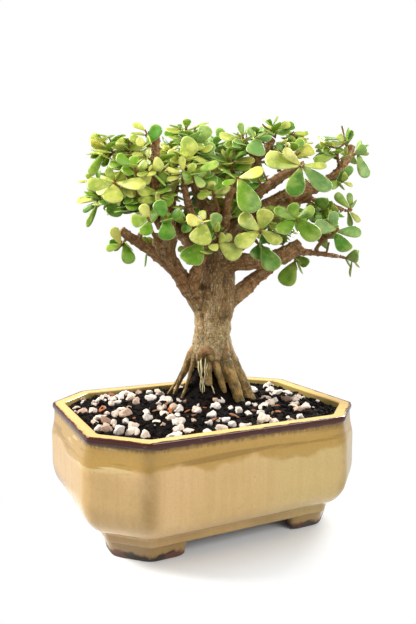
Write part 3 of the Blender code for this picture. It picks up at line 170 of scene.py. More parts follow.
# Sprays: limb, place along it, the twig's tip, and the leaves that are set one by one:
# the leaf's far end, its width, and whether its face or its edge is turned to the front
SPRAYS = (
    ("left_top", 1.0, (-78, -8, 185), (
        ((-88, -14, 166), 7, FACE), ((-86, -4, 187), 4, EDGE), ((-70, -12, 192), 4, EDGE))),
    ("left_top", 0.45, (-62, -22, 183), (((-46, -26, 186), 6, FACE), ((-60, -16, 192), 6, FACE))),
    ("left_side", 1.0, (-67, -36, 158), (
        ((-85, -40, 156), 11, FACE), ((-45, -42, 156), 10, FACE), ((-67, -44, 144), 13, FACE),
        ((-57, -32, 167), 6, FACE), ((-72, -34, 168), 6, FACE))),
    ("left_side", 0.6, (-53, -36, 169), (((-64, -42, 175), 8, FACE), ((-44, -40, 171), 6, FACE))),
    ("left_side_back", 1.0, (-86, 6, 149), (
        ((-93, 0, 130), 5, FACE), ((-98, 8, 142), 5, FACE), ((-102, 10, 152), 5, FACE), ((-81, 4, 160), 6, EDGE))),
    ("left_side_back", 0.75, (-91, 18, 166), (((-103, 16, 165), 5, EDGE),)),
    ("left_side_back", 0.5, (-67, -8, 150), (((-72, -16, 137), 12, FACE),)),
    ("left_cut", 0.85, (-64, -30, 115), (
        ((-69, -32, 128), 7, FACE), ((-74, -32, 113), 6, FACE), ((-57, -32, 103), 9, FACE))),
    ("left_cut", 0.35, (-48, -10, 113), (
        ((-45, -12, 122), 6, FACE), ((-50, -10, 100), 5, EDGE), ((-40, -8, 104), 4, EDGE))),
    ("left_limb", 0.93, (-43, -44, 134), (
        ((-54, -48, 131), 10, FACE), ((-45, -50, 122), 9, FACE), ((-47, -44, 143), 7, FACE))),
    ("left_limb", 0.86, (-31, -44, 135), (
        ((-30, -50, 119), 11, FACE), ((-37, -46, 145), 9, FACE), ((-20, -46, 139), 7, FACE))),
    ("left_upright", 0.5, (-34, -34, 147), (((-48, -38, 146), 6, FACE), ((-24, -38, 150), 4, EDGE))),
    ("left_upright", 0.66, (-42, -38, 166), (((-31, -36, 156), 3, EDGE), ((-51, -42, 162), 6, FACE))),
    ("left_upright", 0.9, (-46, -30, 184), (((-36, -32, 197), 10, FACE), ((-57, -30, 190), 6, FACE))),
    ("left_back", 1.0, (-32, 10, 189), (((-24, 6, 197), 7, FACE), ((-39, 4, 182), 7, FACE))),
    ("left_back", 0.6, (-40, 28, 172), ()),
    ("left_inner", 1.0, (-19, 8, 204), (((-34, 8, 200), 5, FACE), ((-2, 8, 208), 3, EDGE))),
    ("left_inner", 0.85, (-10, -4, 190), (((-3, -6, 202), 11, FACE), ((-1, -14, 184), 8, FACE))),
    ("left_inner", 0.62, (-22, -14, 176), (((-14, -22, 190), 14, FACE), ((-31, -16, 183), 6, FACE))),
    ("centre_left", 1.0, (-20, -30, 166), (
        ((-21, -32, 176), 5, FACE), ((-31, -36, 168), 4, FACE), ((-31, -36, 160), 4, FACE),
        ((-11, -30, 171), 4, FACE))),
    ("centre_left", 0.62, (-19, -46, 134), (
        ((-30, -48, 139), 9, FACE), ((-27, -50, 125), 7, FACE), ((-17, -50, 124), 7, FACE))),
    ("centre_left", 0.5, (-5, -48, 132), (((-17, -54, 132), 9, FACE), ((-9, -56, 116), 14, FACE))),
    ("centre_left", 0.3, (-6, -44, 118), (((-17, -52, 104), 16, FACE), ((-22, -36, 107), 6, EDGE))),
    ("stump_limb", 0.45, (1, -44, 125), (((3, -46, 137), 8, FACE),)),
    ("stump_limb", 0.15, (4, -46, 117), (((18, -54, 108), 12, FACE), ((13, -46, 122), 6, FACE))),
    ("left_inner", 0.45, (-13, -34, 165), (((4, -40, 171), 7, FACE), ((-6, -38, 155), 6, FACE))),
    ("stump_limb", 0.9, (0, -30, 154), (((-10, -34, 148), 6, FACE), ((12, -38, 154), 7, FACE))),
    ("centre_front", 1.0, (17, -48, 160), (
        ((27, -56, 137), 15, FACE), ((33, -54, 164), 9, FACE), ((7, -52, 155), 5, FACE),
        ((6, -46, 166), 4, EDGE))),
    ("top_branch", 0.55, (11, -12, 178), (((0, -14, 184), 6, EDGE), ((21, -18, 182), 6, EDGE))),
    ("top_branch", 0.78, (22, -6, 195), (((20, -8, 204), 5, FACE), ((16, -14, 184), 9, FACE))),
    ("top_branch", 1.0, (44, -2, 203), (((37, -8, 206), 5, EDGE), ((57, -4, 204), 6, FACE))),
    ("top_branch", 0.88, (31, -18, 192), (((30, -28, 178), 13, FACE), ((41, -24, 190), 6, FACE))),
    ("top_branch", 0.93, (62, 12, 190), (((77, 10, 194), 5, EDGE), ((56, 12, 200), 5, EDGE))),
    ("back_top", 1.0, (4, 32, 198), (((8, 24, 206), 9, FACE),)),
    ("right_front", 1.0, (59, -42, 168), (
        ((35, -46, 173), 13, FACE), ((47, -48, 178), 8, FACE), ((53, -50, 148), 12, FACE),
        ((78, -48, 152), 12, FACE), ((76, -44, 168), 6, FACE))),
    ("right_front", 0.75, (56, -22, 182), (((64, -20, 190), 6, FACE), ((45, -22, 187), 6, FACE))),
    ("red_branch", 0.95, (94, -14, 189), (((83, -16, 187), 5, FACE), ((96, -16, 199), 4, EDGE))),
    ("red_branch", 0.88, (107, -2, 184), (((112, -8, 165), 9, FACE), ((116, 2, 191), 4, EDGE))),
    ("red_branch", 0.62, (89, -16, 181), (((72, -20, 175), 7, FACE),)),
    ("red_branch", 0.3, (93, -18, 161), (((82, -22, 157), 7, FACE), ((98, -22, 171), 6, FACE))),
    ("right_thin", 1.0, (104, 10, 144), (
        ((93, 6, 155), 7, FACE), ((104, 10, 156), 5, FACE), ((112, 8, 134), 5, FACE))),
    ("right_thin", 0.45, (80, -12, 139), (((70, -16, 134), 7, FACE), ((87, -16, 131), 6, FACE))),
    ("right_upper", 0.72, (57, -44, 132), (
        ((41, -48, 139), 7, FACE), ((53, -48, 143), 8, FACE), ((68, -46, 140), 8, FACE),
        ((44, -52, 124), 10, FACE), ((69, -52, 119), 13, FACE))),
    ("right_upper", 0.42, (32, -48, 125), (
        ((18, -50, 135), 11, FACE), ((36, -50, 139), 11, FACE), ((16, -54, 115), 11, FACE),
        ((45, -52, 117), 9, FACE))),
    ("right_upper", 0.3, (34, -40, 115), (((42, -48, 99), 13, FACE),)),
    ("thin_right", 0.45, (87, -32, 127), (
        ((70, -36, 129), 10, FACE), ((103, -34, 125), 9, FACE), ((92, -42, 112), 11, FACE),
        ((84, -32, 139), 7, FACE))),
    ("thin_right", 1.0, (101, -18, 106), (((99, -18, 93), 3, EDGE),)),
    ("right_low", 0.97, (62, -2, 104), (((53, -8, 87), 13, FACE), ((68, -4, 95), 4, EDGE))),
    ("back_left", 1.0, (-50, 60, 172), ()),
    ("back_left", 0.72, (-56, 38, 152), ()),
    ("back_left", 0.5, (-34, 58, 138), ()),
    ("back_right", 1.0, (76, 54, 166), ()),
    ("back_right", 0.7, (44, 62, 148), ()),
    ("back_right", 0.5, (58, 26, 130), ()),
    ("back_top", 0.7, (22, 48, 174), ()),
    ("back_low", 1.0, (10, 70, 130), ()),
    ("back_low", 0.6, (-18, 56, 116), ()),
)


def unit(vectors: np.ndarray) -> np.ndarray:
    """Vectors of the same directions and length one."""
    return vectors / np.linalg.norm(vectors, axis=-1, keepdims=True)


def ease(values: np.ndarray, low: float, high: float) -> np.ndarray:
    """A smooth step from 0 at low to 1 at high: 3t² - 2t³ of the clipped share t."""
    share = np.clip((values - low) / (high - low), 0.0, 1.0)
    return share * share * (3.0 - 2.0 * share)


def lattice_noise(points: np.ndarray, cell: float, seed: int) -> np.ndarray:
    """Smooth noise in space: each lattice corner has a drawn value, mixed by eased shares.

    Args:
        points: Places, in the same unit as the cell, as an array of (..., 3).
        cell: The lattice's pitch.
        seed: Picks the drawn values.

    Returns:
        One value in -1..1 for each place.
    """
    grid = np.asarray(points, dtype=float) / cell
    corner = np.floor(grid).astype(np.int64)
    share = grid - corner
    share = share * share * (3.0 - 2.0 * share)
    total = np.zeros(grid.shape[:-1])
    for step in np.ndindex(2, 2, 2):
        x, y, z = (corner[..., axis] + step[axis] for axis in range(3))
        drawn = (x * 73856093) ^ (y * 19349663) ^ (z * 83492791) ^ (seed * 40503)
        drawn = ((drawn ^ (drawn >> 13)) * 1274126177) & 0x7FFFFFFF
        drawn = ((drawn ^ (drawn >> 15)) * 668265263) & 0x7FFFFFFF
        value = (drawn & 0xFFFF) / 32767.5 - 1.0
        weight = np.prod([share[..., axis] if step[axis] else 1.0 - share[..., axis] for axis in range(3)], axis=0)
        total = total + value * weight
    return total


def layered_noise(points: np.ndarray, cell: float, seed: int, octaves: int = 3) -> np.ndarray:
    """Lattice noise summed over octaves, each of half the pitch and 0.55 of the height."""
    return sum(0.55 ** step * lattice_noise(points, cell / 2 ** step, seed + step) for step in range(octaves))


def smooth_route(points: tuple, per_span: int) -> np.ndarray:
    """A smooth line through points and radii.

    The line is a Catmull-Rom curve: half of (2b + (c-a)t + (2a-5b+4c-d)t² + (3b-a-3c+d)t³).

    Args:
        points: Rows of x, y, z and radius.
        per_span: Steps from one point to the next.

    Returns:
        Rows of x, y, z and radius along the line.
    """
    route = np.array(points, dtype=float)
    padded = np.vstack((2 * route[0] - route[1], route, 2 * route[-1] - route[-2]))
    steps = np.arange(per_span)[:, None] / per_span
    spans = []
    for a, b, c, d in zip(padded, padded[1:], padded[2:], padded[3:]):
        spans.append(0.5 * (2 * b + (c - a) * steps + (2 * a - 5 * b + 4 * c - d) * steps ** 2
                            + (3 * b - a - 3 * c + d) * steps ** 3))
    return np.vstack(spans + [route[-1:]])


def route_frames(route: np.ndarray) -> tuple[np.ndarray, np.ndarray, np.ndarray]:
    """Directions along a route: heading, side and lift, carried from ring to ring without twist.

    Args:
        route: Rows of x, y, z and radius.

    Returns:
        Three arrays of unit vectors, one row for each point of the route.
    """
    heading = unit(np.gradient(route[:, :3], axis=0))
    side = np.empty_like(heading)
    start = np.cross(heading[0], TO_FRONT + 0.37 * UP)
    side[0] = unit(start)
    for ring in range(1, len(route)):
        carried = side[ring - 1] - heading[ring] * (side[ring - 1] @ heading[ring])
        side[ring] = unit(carried)
    return heading, side, np.cross(heading, side)


@dataclass(frozen=True)
class TreeFrame:
    """Where the tree's own frame stands in the part.

    Attributes:
        foot: The middle of the trunk's foot, in metres.
        turn_deg: How far the tree's frame is turned about the upright.
    """

    foot: Point
    turn_deg: float = -25.9

    def to_part(self, points: np.ndarray) -> np.ndarray:
        """Millimetres in the tree's frame turned into metres in the part's frame."""
        cosine, sine = math.cos(math.radians(self.turn_deg)), math.sin(math.radians(self.turn_deg))
        points = np.asarray(points, dtype=float) * MM
        x = points[..., 0] * cosine - points[..., 1] * sine
        y = points[..., 0] * sine + points[..., 1] * cosine
        return np.stack((x, y, points[..., 2]), axis=-1) + np.array(self.foot)

    def from_part(self, points: np.ndarray) -> np.ndarray:
        """Metres in the part's frame turned into millimetres in the tree's frame."""
        cosine, sine = math.cos(math.radians(self.turn_deg)), math.sin(math.radians(self.turn_deg))
        away = (np.asarray(points, dtype=float) - np.array(self.foot)) / MM
        x = away[..., 0] * cosine + away[..., 1] * sine
        y = away[..., 1] * cosine - away[..., 0] * sine
        return np.stack((x, y, away[..., 2]), axis=-1)


@dataclass
class Surface:
    """A closed or open surface as arrays, with named values at its points.

    Attributes:
        points: Places, in metres.
        faces: Arrays of corner numbers, one array for three-sided and one for four-sided faces.
        values: Named values, one row for each point: numbers, vectors or colours.
    """

    points: np.ndarray
    faces: list[np.ndarray]
    values: dict[str, np.ndarray] = field(default_factory=dict)

    @staticmethod
    def gather(parts: list["Surface"]) -> "Surface":
        """Many surfaces as one, with every point numbered on."""
        shift, faces = 0, []
        for part in parts:
            faces += [corners + shift for corners in part.faces]
            shift += len(part.points)
        by_size = [[f for f in faces if f.shape[1] == size] for size in (3, 4)]
        values = {name: np.concatenate([part.values[name] for part in parts]) for name in parts[0].values}
        return Surface(np.concatenate([part.points for part in parts]),
                       [np.concatenate(same) for same in by_size if same], values)

    def mesh(self, name: str) -> bpy.types.Mesh:
        """The surface as a smooth-shaded mesh, its values kept as point attributes."""
        mesh = bpy.data.meshes.new(name)
        sizes = np.concatenate([np.full(len(f), f.shape[1]) for f in self.faces])
        corners = np.concatenate([f.ravel() for f in self.faces])
        mesh.vertices.add(len(self.points))
        mesh.vertices.foreach_set("co", np.ascontiguousarray(self.points, dtype=np.float32).ravel())
        mesh.loops.add(len(corners))
        mesh.loops.foreach_set("vertex_index", corners.astype(np.int32))
        mesh.polygons.add(len(sizes))
        mesh.polygons.foreach_set("loop_start", (np.cumsum(sizes) - sizes).astype(np.int32))
        mesh.polygons.foreach_set("use_smooth", np.ones(len(sizes), dtype=bool))
        mesh.update(calc_edges=True)
        mesh.validate()
        write_values(mesh, self.values)
        return mesh


def write_values(mesh: bpy.types.Mesh, values: dict[str, np.ndarray]) -> None:
    """Keeps named values on a mesh's points, as numbers, vectors or colours by their width.

    Args:
        mesh: The mesh that takes them.
        values: One row for each point under each name.
    """
    kinds = {1: ("FLOAT", "value"), 3: ("FLOAT_VECTOR", "vector"), 4: ("FLOAT_COLOR", "color")}
    for name, rows in values.items():
        rows = np.asarray(rows, dtype=np.float32)
        kind, key = kinds[1 if rows.ndim == 1 else rows.shape[1]]
        layer = mesh.attributes.new(name, kind, "POINT")
        layer.data.foreach_set(key, rows.ravel())


def grid_faces(rows: int, columns: int, around: bool = True) -> np.ndarray:
    """Four-sided faces of a grid of points whose columns may close round.

    Args:
        rows: Points along the first parameter.
        columns: Points along the second.
        around: Whether the last column joins the first.

    Returns:
        Corner numbers, facing outwards where columns run anticlockwise and rows run up.
    """
    row, column = np.meshgrid(np.arange(rows - 1), np.arange(columns if around else columns - 1), indexing="ij")
    after = (column + 1) % columns
    corners = (row * columns + column, row * columns + after, (row + 1) * columns + after,
               (row + 1) * columns + column)
    return np.stack([corner.ravel() for corner in corners], axis=-1)


def fan_faces(ring_start: int, count: int, hub: int, turned: bool) -> np.ndarray:
    """Three-sided faces that close a ring of points onto one hub point."""
    ring = ring_start + np.arange(count)
    after = ring_start + (np.arange(count) + 1) % count
    order = (after, ring) if turned else (ring, after)
    return np.stack((*order, np.full(count, hub)), axis=-1)


def tube_surface(route: np.ndarray, sides: int, tree: TreeFrame, round_end: bool = False) -> Surface:
    """A tapering round stem: circles square to the route, of its radii, with both ends closed.

    Args:
        route: Rows of x, y, z and radius, in the tree's frame.
        sides: Points round each circle.
        tree: The tree's frame.
        round_end: Whether the tip is domed and not cut flat.

    Returns:
        The closed tube, in metres, with its distance along as a value.
    """
    if round_end:
        heading = unit(route[-1, :3] - route[-2, :3])
        caps = [np.concatenate((route[-1, :3] + heading * route[-1, 3] * math.sin(a), [route[-1, 3] * math.cos(a)]))
                for a in (0.5, 1.0, 1.4)]
        route = np.vstack([route] + caps)
    _, side, lift = route_frames(route)
    turn = np.linspace(0.0, 2 * math.pi, sides, endpoint=False)
    rim = side[:, None] * np.cos(turn)[None, :, None] + lift[:, None] * np.sin(turn)[None, :, None]
    rings = route[:, None, :3] + rim * route[:, None, 3:]
    points = np.vstack((rings.reshape(-1, 3), route[:1, :3], route[-1:, :3]))
    count = len(route) * sides
    triangles = np.vstack((fan_faces(0, sides, count, True), fan_faces(count - sides, sides, count + 1, False)))
    run = np.concatenate(([0.0], np.cumsum(np.linalg.norm(np.diff(route[:, :3], axis=0), axis=1))))
    along = np.concatenate((np.repeat(run, sides), run[:1], run[-1:]))
    return Surface(tree.to_part(points), [triangles, grid_faces(len(route), sides)], {"along": along})


@dataclass
class StemField:
    """The skins of many tapering routes, for distance tests.

    Attributes:
        starts: First point of each straight stretch.
        runs: From that point to the stretch's other end.
        radii: Radius at the first point.
        tapers: Change of radius along the stretch.
        owners: Number of the route that each stretch belongs to.
    """

    starts: np.ndarray
    runs: np.ndarray
    radii: np.ndarray
    tapers: np.ndarray
    owners: np.ndarray

    @staticmethod
    def of(routes: list[np.ndarray]) -> "StemField":
        """The field of some routes."""
        return StemField(np.concatenate([r[:-1, :3] for r in routes]),
                         np.concatenate([np.diff(r[:, :3], axis=0) for r in routes]),
                         np.concatenate([r[:-1, 3] for r in routes]),
                         np.concatenate([np.diff(r[:, 3]) for r in routes]),
                         np.concatenate([np.full(len(r) - 1, n) for n, r in enumerate(routes)]))

    def gap(self, points: np.ndarray, halves: np.ndarray, skip: int = -1) -> float:
        """Least distance from any point's own half thickness to any skin.

        Args:
            points: Places, in the tree's frame.
            halves: Half the thickness at each place.
            skip: A route that isn't counted.

        Returns:
            The least gap in millimetres, or a large number with no route.
        """
        if not len(self.starts):
            return 1e9
        toward = points[:, None, :] - self.starts[None]
        along = np.clip((toward * self.runs).sum(-1) / (self.runs * self.runs).sum(-1), 0.0, 1.0)
        away = np.linalg.norm(toward - self.runs * along[..., None], axis=-1)
        away = away - (self.radii + self.tapers * along) - np.asarray(halves)[:, None]
        if skip >= 0:
            away = np.where(self.owners == skip, 1e9, away)
        return float(away.min())


def limb_place(route: np.ndarray, share: float) -> tuple[np.ndarray, np.ndarray, float]:
    """The point, heading and radius at a share of a route's length."""
    lengths = np.linalg.norm(np.diff(route[:, :3], axis=0), axis=1)
    reach = np.concatenate(([0.0], np.cumsum(lengths)))
    target = share * reach[-1]
    index = min(np.searchsorted(reach, target, side="right") - 1, len(lengths) - 1)
    part = (target - reach[index]) / lengths[index]
    point = route[index] + (route[index + 1] - route[index]) * part
    return point[:3], unit(route[index + 1, :3] - route[index, :3]), point[3]


@dataclass
class TwigPlan:
    """Lays every spray's twig from its limb to its tip, clear of the limbs and of earlier twigs.

    Attributes:
        tip_radius: Radius at a twig's tip, in millimetres.
        foot_radius: Least radius at a twig's foot.
        stoutness: Extra foot radius for each millimetre of reach.
        limb_share: Most of the limb's radius that a foot may have.
        seat: Gap between a foot and its limb.
        steps: Straight stretches in a twig.
        bend: Shares of the reach that shape the curve at foot and tip.
        rise: How strongly a tip turns up.
        detours: Sideways bends that are tried where the straight way isn't clear.
        room: Least gap to other stems.
        seat_rounds: Rounds of moving a foot off its limb.
    """

    tip_radius: float = 0.85
    foot_radius: float = 1.15
    stoutness: float = 0.018
    limb_share: float = 0.85
    seat: float = 0.35
    steps: int = 3
    bend: tuple[float, float] = (0.35, 0.30)
    rise: float = 0.35
    detours: tuple[float, ...] = (5.0, 9.0, 14.0)
    room: float = 0.6
    seat_rounds: int = 4

    def curve(self, start: np.ndarray, out: np.ndarray, tip: np.ndarray, bulge: np.ndarray,
              radius: float, steps: int) -> np.ndarray:
        """A cubic curve a(1-t)³ + 3bt(1-t)² + 3ct²(1-t) + dt³, thinner towards the tip."""
        reach = np.linalg.norm(tip - start)
        bend_from = start + out * reach * self.bend[0] + bulge / 2
        arrive = unit(unit(tip - start) + self.rise * UP)
        bend_to = tip - arrive * reach * self.bend[1] + bulge
        t = np.linspace(0.0, 1.0, steps + 1)[:, None]
        curve = start * (1 - t) ** 3 + 3 * bend_from * t * (1 - t) ** 2 + 3 * bend_to * t ** 2 * (1 - t) + tip * t ** 3
        thick = min(radius * self.limb_share, self.foot_radius + self.stoutness * reach)
        return np.hstack((curve, thick + (self.tip_radius - thick) * t ** 0.8))

    def foot_rim(self, twig: np.ndarray) -> np.ndarray:
        """Points round the flat end of a twig's foot."""
        heading = unit(twig[1, :3] - twig[0, :3])
        side = unit(np.cross(heading, UP + 0.5 * TO_FRONT))
        turns = np.linspace(0.0, 2 * math.pi, 8, endpoint=False)[:, None]
        return twig[0, :3] + twig[0, 3] * (side * np.cos(turns) + np.cross(heading, side) * np.sin(turns))

    def seated(self, limb: np.ndarray, share: float, tip: Point, bulge: np.ndarray) -> tuple[np.ndarray, tuple]:
        """A twig whose foot stands a small gap off its limb, with what draws its curve.

        Args:
            limb: The limb's route.
            share: Place along the limb; 1 is its end.
            tip: The twig's tip.
            bulge: The sideways bend.

        Returns:
            The coarse route, and the curve's start, heading, tip, bulge and limb radius.
        """
        point, tangent, radius = limb_place(limb, share)
        end = np.array(tip, dtype=float)
        toward = end - point
        out = tangent if share >= 1.0 else unit(toward - tangent * (toward @ tangent))
        seat = self.seat if share >= 1.0 else radius + self.seat
        skin = StemField.of([limb])
        for _ in range(self.seat_rounds):
            recipe = (point + out * seat, out, end, bulge, radius)
            twig = self.curve(*recipe, self.steps)
            rim = self.foot_rim(twig)
            gap = ((rim - point) @ tangent).min() if share >= 1.0 else skin.gap(rim, np.zeros(8))
            seat += max(0.0, self.seat - gap)
        return twig, recipe

    def clear(self, twig: np.ndarray, own: str, wood: dict[str, np.ndarray], twigs: list[np.ndarray]) -> bool:
        """Whether a twig keeps off every limb and every earlier twig."""
        fine = smooth_route(twig, 4)
        for name, route in wood.items():
            tested = fine[6:] if name == own else fine[1:]
            if StemField.of([route]).gap(tested[:, :3], tested[:, 3]) < self.room:
                return False
        return not twigs or StemField.of(twigs).gap(fine[:, :3], fine[:, 3]) > self.room

    def lay(self, wood: dict[str, np.ndarray]) -> tuple[list[np.ndarray], list[np.ndarray]]:
        """Every twig, coarse as its solid is and fine for its looks."""
        bends = [np.zeros(3)]
        for amount in self.detours:
            for angle in np.arange(8) * math.pi / 4:
                bends.append(amount * np.array((math.cos(angle), 0.35 * math.cos(2 * angle), math.sin(angle))))
            bends += [np.array((0.0, amount, 0.0)), np.array((0.0, -amount, 0.0))]
        coarse, fine = [], []
        for limb, share, tip, _ in SPRAYS:
            best = first = None
            for bulge in bends:
                twig, recipe = self.seated(wood[limb], share, tip, bulge)
                first = first or (twig, recipe)
                if self.clear(twig, limb, wood, coarse):
                    best = (twig, recipe)
                    break
            twig, recipe = best or first
            coarse.append(twig)
            fine.append(self.curve(*recipe, 14))
        return coarse, fine


class Leaf:
    """One leaf: where it springs from, the way it points, its face and its size in millimetres."""

    STRETCH = 0.75
    SHOULDER = 0.42
    RIDGE = 0.52
    DROOP = 0.05
    THICKNESS = (0.7, 0.115)
    PROBES_ACROSS = 5

    def __init__(self, spray: int, base: np.ndarray, heading: np.ndarray, face: np.ndarray, length: float,
                 width: float, tone: Tone | None = None) -> None:
        """Squares the face to the heading and fixes the thickness."""
        self.spray = spray
        self.base = base
        self.along = unit(heading)
        self.face = unit(face - self.along * (face @ self.along))
        self.side = np.cross(self.face, self.along)
        self.length = length
        self.width = width
        self.thickness = self.THICKNESS[0] + self.THICKNESS[1] * length
        self.tone = tone

    @classmethod
    def outline(cls, angle: np.ndarray) -> tuple[np.ndarray, np.ndarray]:
        """The outline by an angle from the base.

        The share of the length is ((1 - cos a)/2) to a power, and the share of the half width is
        sin a times (1 - s cos a), which is broadest past the middle.
        """
        cosine = np.cos(angle)
        return ((1 - cosine) / 2) ** cls.STRETCH, np.sin(angle) * (1 - cls.SHOULDER * cosine)

    def point(self, along: np.ndarray, across: np.ndarray, rise: np.ndarray) -> np.ndarray:
        """Points of the leaf from shares of its length and width and heights over its face."""
        along, across, rise = (np.asarray(value, dtype=float)[..., None] for value in (along, across, rise))
        droop = -self.DROOP * self.length * along ** 2
        return (self.base + self.along * self.length * along + self.side * self.width / 2 * across
                + self.face * (rise + droop))

    def probes(self) -> tuple[np.ndarray, np.ndarray]:
        """Points spread over the leaf and half its thickness at each, for clearance tests."""
        along, half = self.outline(np.radians((50.0, 70.0, 90.0, 110.0, 130.0, 150.0, 172.0)))
        across = np.linspace(-1.0, 1.0, self.PROBES_ACROSS)
        share = np.repeat(along, self.PROBES_ACROSS)
        places = self.point(share, np.outer(half, across).ravel(), np.zeros(len(share)))
        thin = np.tile(1 - 0.85 * np.abs(across), len(along))
        return places, self.thickness / 2 * thin * (1 - 2.4 * (share - self.RIDGE) ** 2)

    def turned(self, swing: float, roll: float, size: float) -> "Leaf":
        """The same leaf swung about its side, rolled about its length and resized."""
        swing, roll = math.radians(swing), math.radians(roll)
        along = self.along * math.cos(swing) + self.face * math.sin(swing)
        face = self.face * math.cos(swing) - self.along * math.sin(swing)
        side = np.cross(face, along)
        face = face * math.cos(roll) + side * math.sin(roll)
        return Leaf(self.spray, self.base, along, face, self.length * size, self.width * size, self.tone)


@dataclass
class Foliage:
    """Places every leaf: the ones that the solids have come first, then the finer ones among them.

    Attributes:
        length: A grown leaf's length, in millimetres.
        broadness: A paired leaf's width over its length.
        seed: Base of the seeded draws.
        own_room, other_room, wood_room: Least gaps to leaves of the same twig, to others and to wood.
        turns_out: How far each pair opens from the twig, by level.
        pair_sizes: Each pair's size, by level.
        pair_spacing: From one pair to the next, along the twig.
        shown_enough: Most single leaves that a spray may have and still get the pair of a level.
        shown_first, shown_spacing: Where single leaves spring from, below the tip.
    """

    length: float = 12.5
    broadness: float = 0.78
    seed: int = 5
    own_room: float = 0.25
    other_room: float = 1.25
    wood_room: float = 0.75
    turns_out: tuple[float, ...] = (40.0, 58.0, 70.0, 76.0, 80.0)
    pair_sizes: tuple[float, ...] = (0.66, 0.92, 1.0, 0.92, 0.85)
    pair_spacing: float = 4.6
    pair_spin: float = 0.3
    pair_opening: float = 7.0
    size_spread: tuple[float, float] = (0.85, 1.15)
    spray_spin: float = 0.7
    shown_enough: tuple[int, ...] = (2, 3, 0)
    shown_first: float = 0.9
    shown_spacing: float = 1.5
    face_lift: float = 0.45
    edge_tilt: float = 0.35
    pair_face_lift: float = 0.4
    least_share: float = 0.25
    careful: tuple = ((0, 0, 1.0), (8, 0, 0.95), (-8, 0, 0.95), (0, 25, 0.92), (0, -25, 0.92), (0, 0, 0.8),
                      (15, 15, 0.75))
    free: tuple = ((0, 0, 1.0), (12, 0, 1.0), (-12, 0, 1.0), (0, 30, 0.95), (0, -30, 0.95), (22, 20, 0.9),
                   (-22, -20, 0.9), (22, -30, 0.8), (-22, 30, 0.8), (0, 0, 0.7), (30, 0, 0.7), (-30, 0, 0.7))
    crown: tuple = ((-54, 186, 46, 20, -30), (-66, 158, 36, 18, -34), (-5, 160, 42, 40, -22), (52, 188, 33, 15, -24),
                    (62, 134, 30, 17, -30))
    bare: tuple = ((-42, 174, 5, 20), (-56, 118, 18, 12), (52, 150, 20, 8), (38, 184, 6, 12), (-2, 142, 9, 15),
                   (64, 114, 14, 9), (-24, 160, 4, 16), (90, 165, 14, 12))
    shoots: int = 4
    shoot_reach: tuple[float, float] = (7.0, 13.0)
    spurs: int = 150
    spur_reach: tuple[float, float] = (3.5, 9.0)
    late: tuple = ((0, 0, 1.0), (14, 0, 0.95), (-14, 0, 0.95), (0, 20, 0.9), (0, -20, 0.9), (24, 0, 0.85),
                   (-24, 0, 0.85), (0, 0, 0.72), (18, 15, 0.65), (-18, -15, 0.65), (0, 0, 0.55))

    def __post_init__(self) -> None:
        """Starts with no leaf placed."""
        self.placed: list[tuple[Leaf, np.ndarray, np.ndarray]] = []
        self.middles = np.empty((0, 3))
        self.reaches = np.empty(0)

    def below_tip(self, route: np.ndarray, distance: float) -> float:
        """The share of a route's length that lies a distance below its tip, kept off its foot."""
        length = np.linalg.norm(np.diff(route[:, :3], axis=0), axis=1).sum()
        return max(self.least_share, 1.0 - distance / length)

    def clear(self, leaf: Leaf, spare: float = 0.0) -> bool:
        """Whether a leaf keeps off the limbs, the other twigs and the leaves placed before it."""
        places, halves = leaf.probes()
        if self.limbs.gap(places, halves) < self.wood_room - spare:
            return False
        if self.stems.gap(places, halves, leaf.spray) < self.wood_room - spare:
            return False
        middle = leaf.base + leaf.along * leaf.length / 2
        near = np.linalg.norm(self.middles - middle, axis=1) <= (leaf.length + self.reaches) / 2 + 4.0
        for index in np.flatnonzero(near):
            other, other_places, other_halves = self.placed[index]
            same = other.spray == leaf.spray
            first = Leaf.PROBES_ACROSS if same else 0
            apart = np.linalg.norm(places[first:, None] - other_places[None, first:], axis=-1)
            room = halves[first:, None] + other_halves[None, first:]
            if (apart - room).min() < (self.own_room if same else self.other_room) - spare:
                return False
        return True

    def welcome(self, leaf: Leaf) -> bool:
        """Whether a later leaf lies in the crown and behind the wood that the crown leaves bare."""
        x, y, z = leaf.base + leaf.along * leaf.length * 0.7
        for share in (0.2, 0.5, 0.8, 1.0):
            over = leaf.base + leaf.along * leaf.length * share
            if over[1] < 2.0 and any(abs(over[0] - a) < b and abs(over[2] - c) < d for a, c, b, d in self.bare):
                return False
        return any(((x - a) / b) ** 2 + ((z - c) / d) ** 2 < 1.0 and y > front for a, c, b, d, front in self.crown)

    def place(self, leaf: Leaf, tries: tuple, spare: float = 0.0) -> bool:
        """Adds the first turned version of a leaf that is clear; tells whether there was one."""
        for swing, roll, size in tries:
            candidate = leaf.turned(swing, roll, size)
            if (not spare or self.welcome(candidate)) and self.clear(candidate, spare):
                self.placed.append((candidate, *candidate.probes()))
                self.middles = np.vstack((self.middles, candidate.base + candidate.along * candidate.length / 2))
                self.reaches = np.append(self.reaches, candidate.length)
                return True
        return False

    def shown(self, number: int, twig: np.ndarray, order: int, far: Point, width: float, turned: Turned) -> Leaf:
        """A leaf set by its far end, with its face or its edge to the tree's front."""
        base, _, _ = limb_place(twig, self.below_tip(twig, self.shown_first + self.shown_spacing * order))
        reach = np.array(far, dtype=float) - base
        if turned is Turned.EDGE:
            face = np.cross(reach, TO_FRONT)
            face = face * (1.0 if face[2] >= 0 else -1.0) + self.edge_tilt * TO_FRONT * np.linalg.norm(face)
        else:
            face = TO_FRONT + self.face_lift * UP
        tone = SHOWN_TONES.get((number + 1, order))
        return Leaf(number, base, reach, face, float(np.linalg.norm(reach)), width, tone)

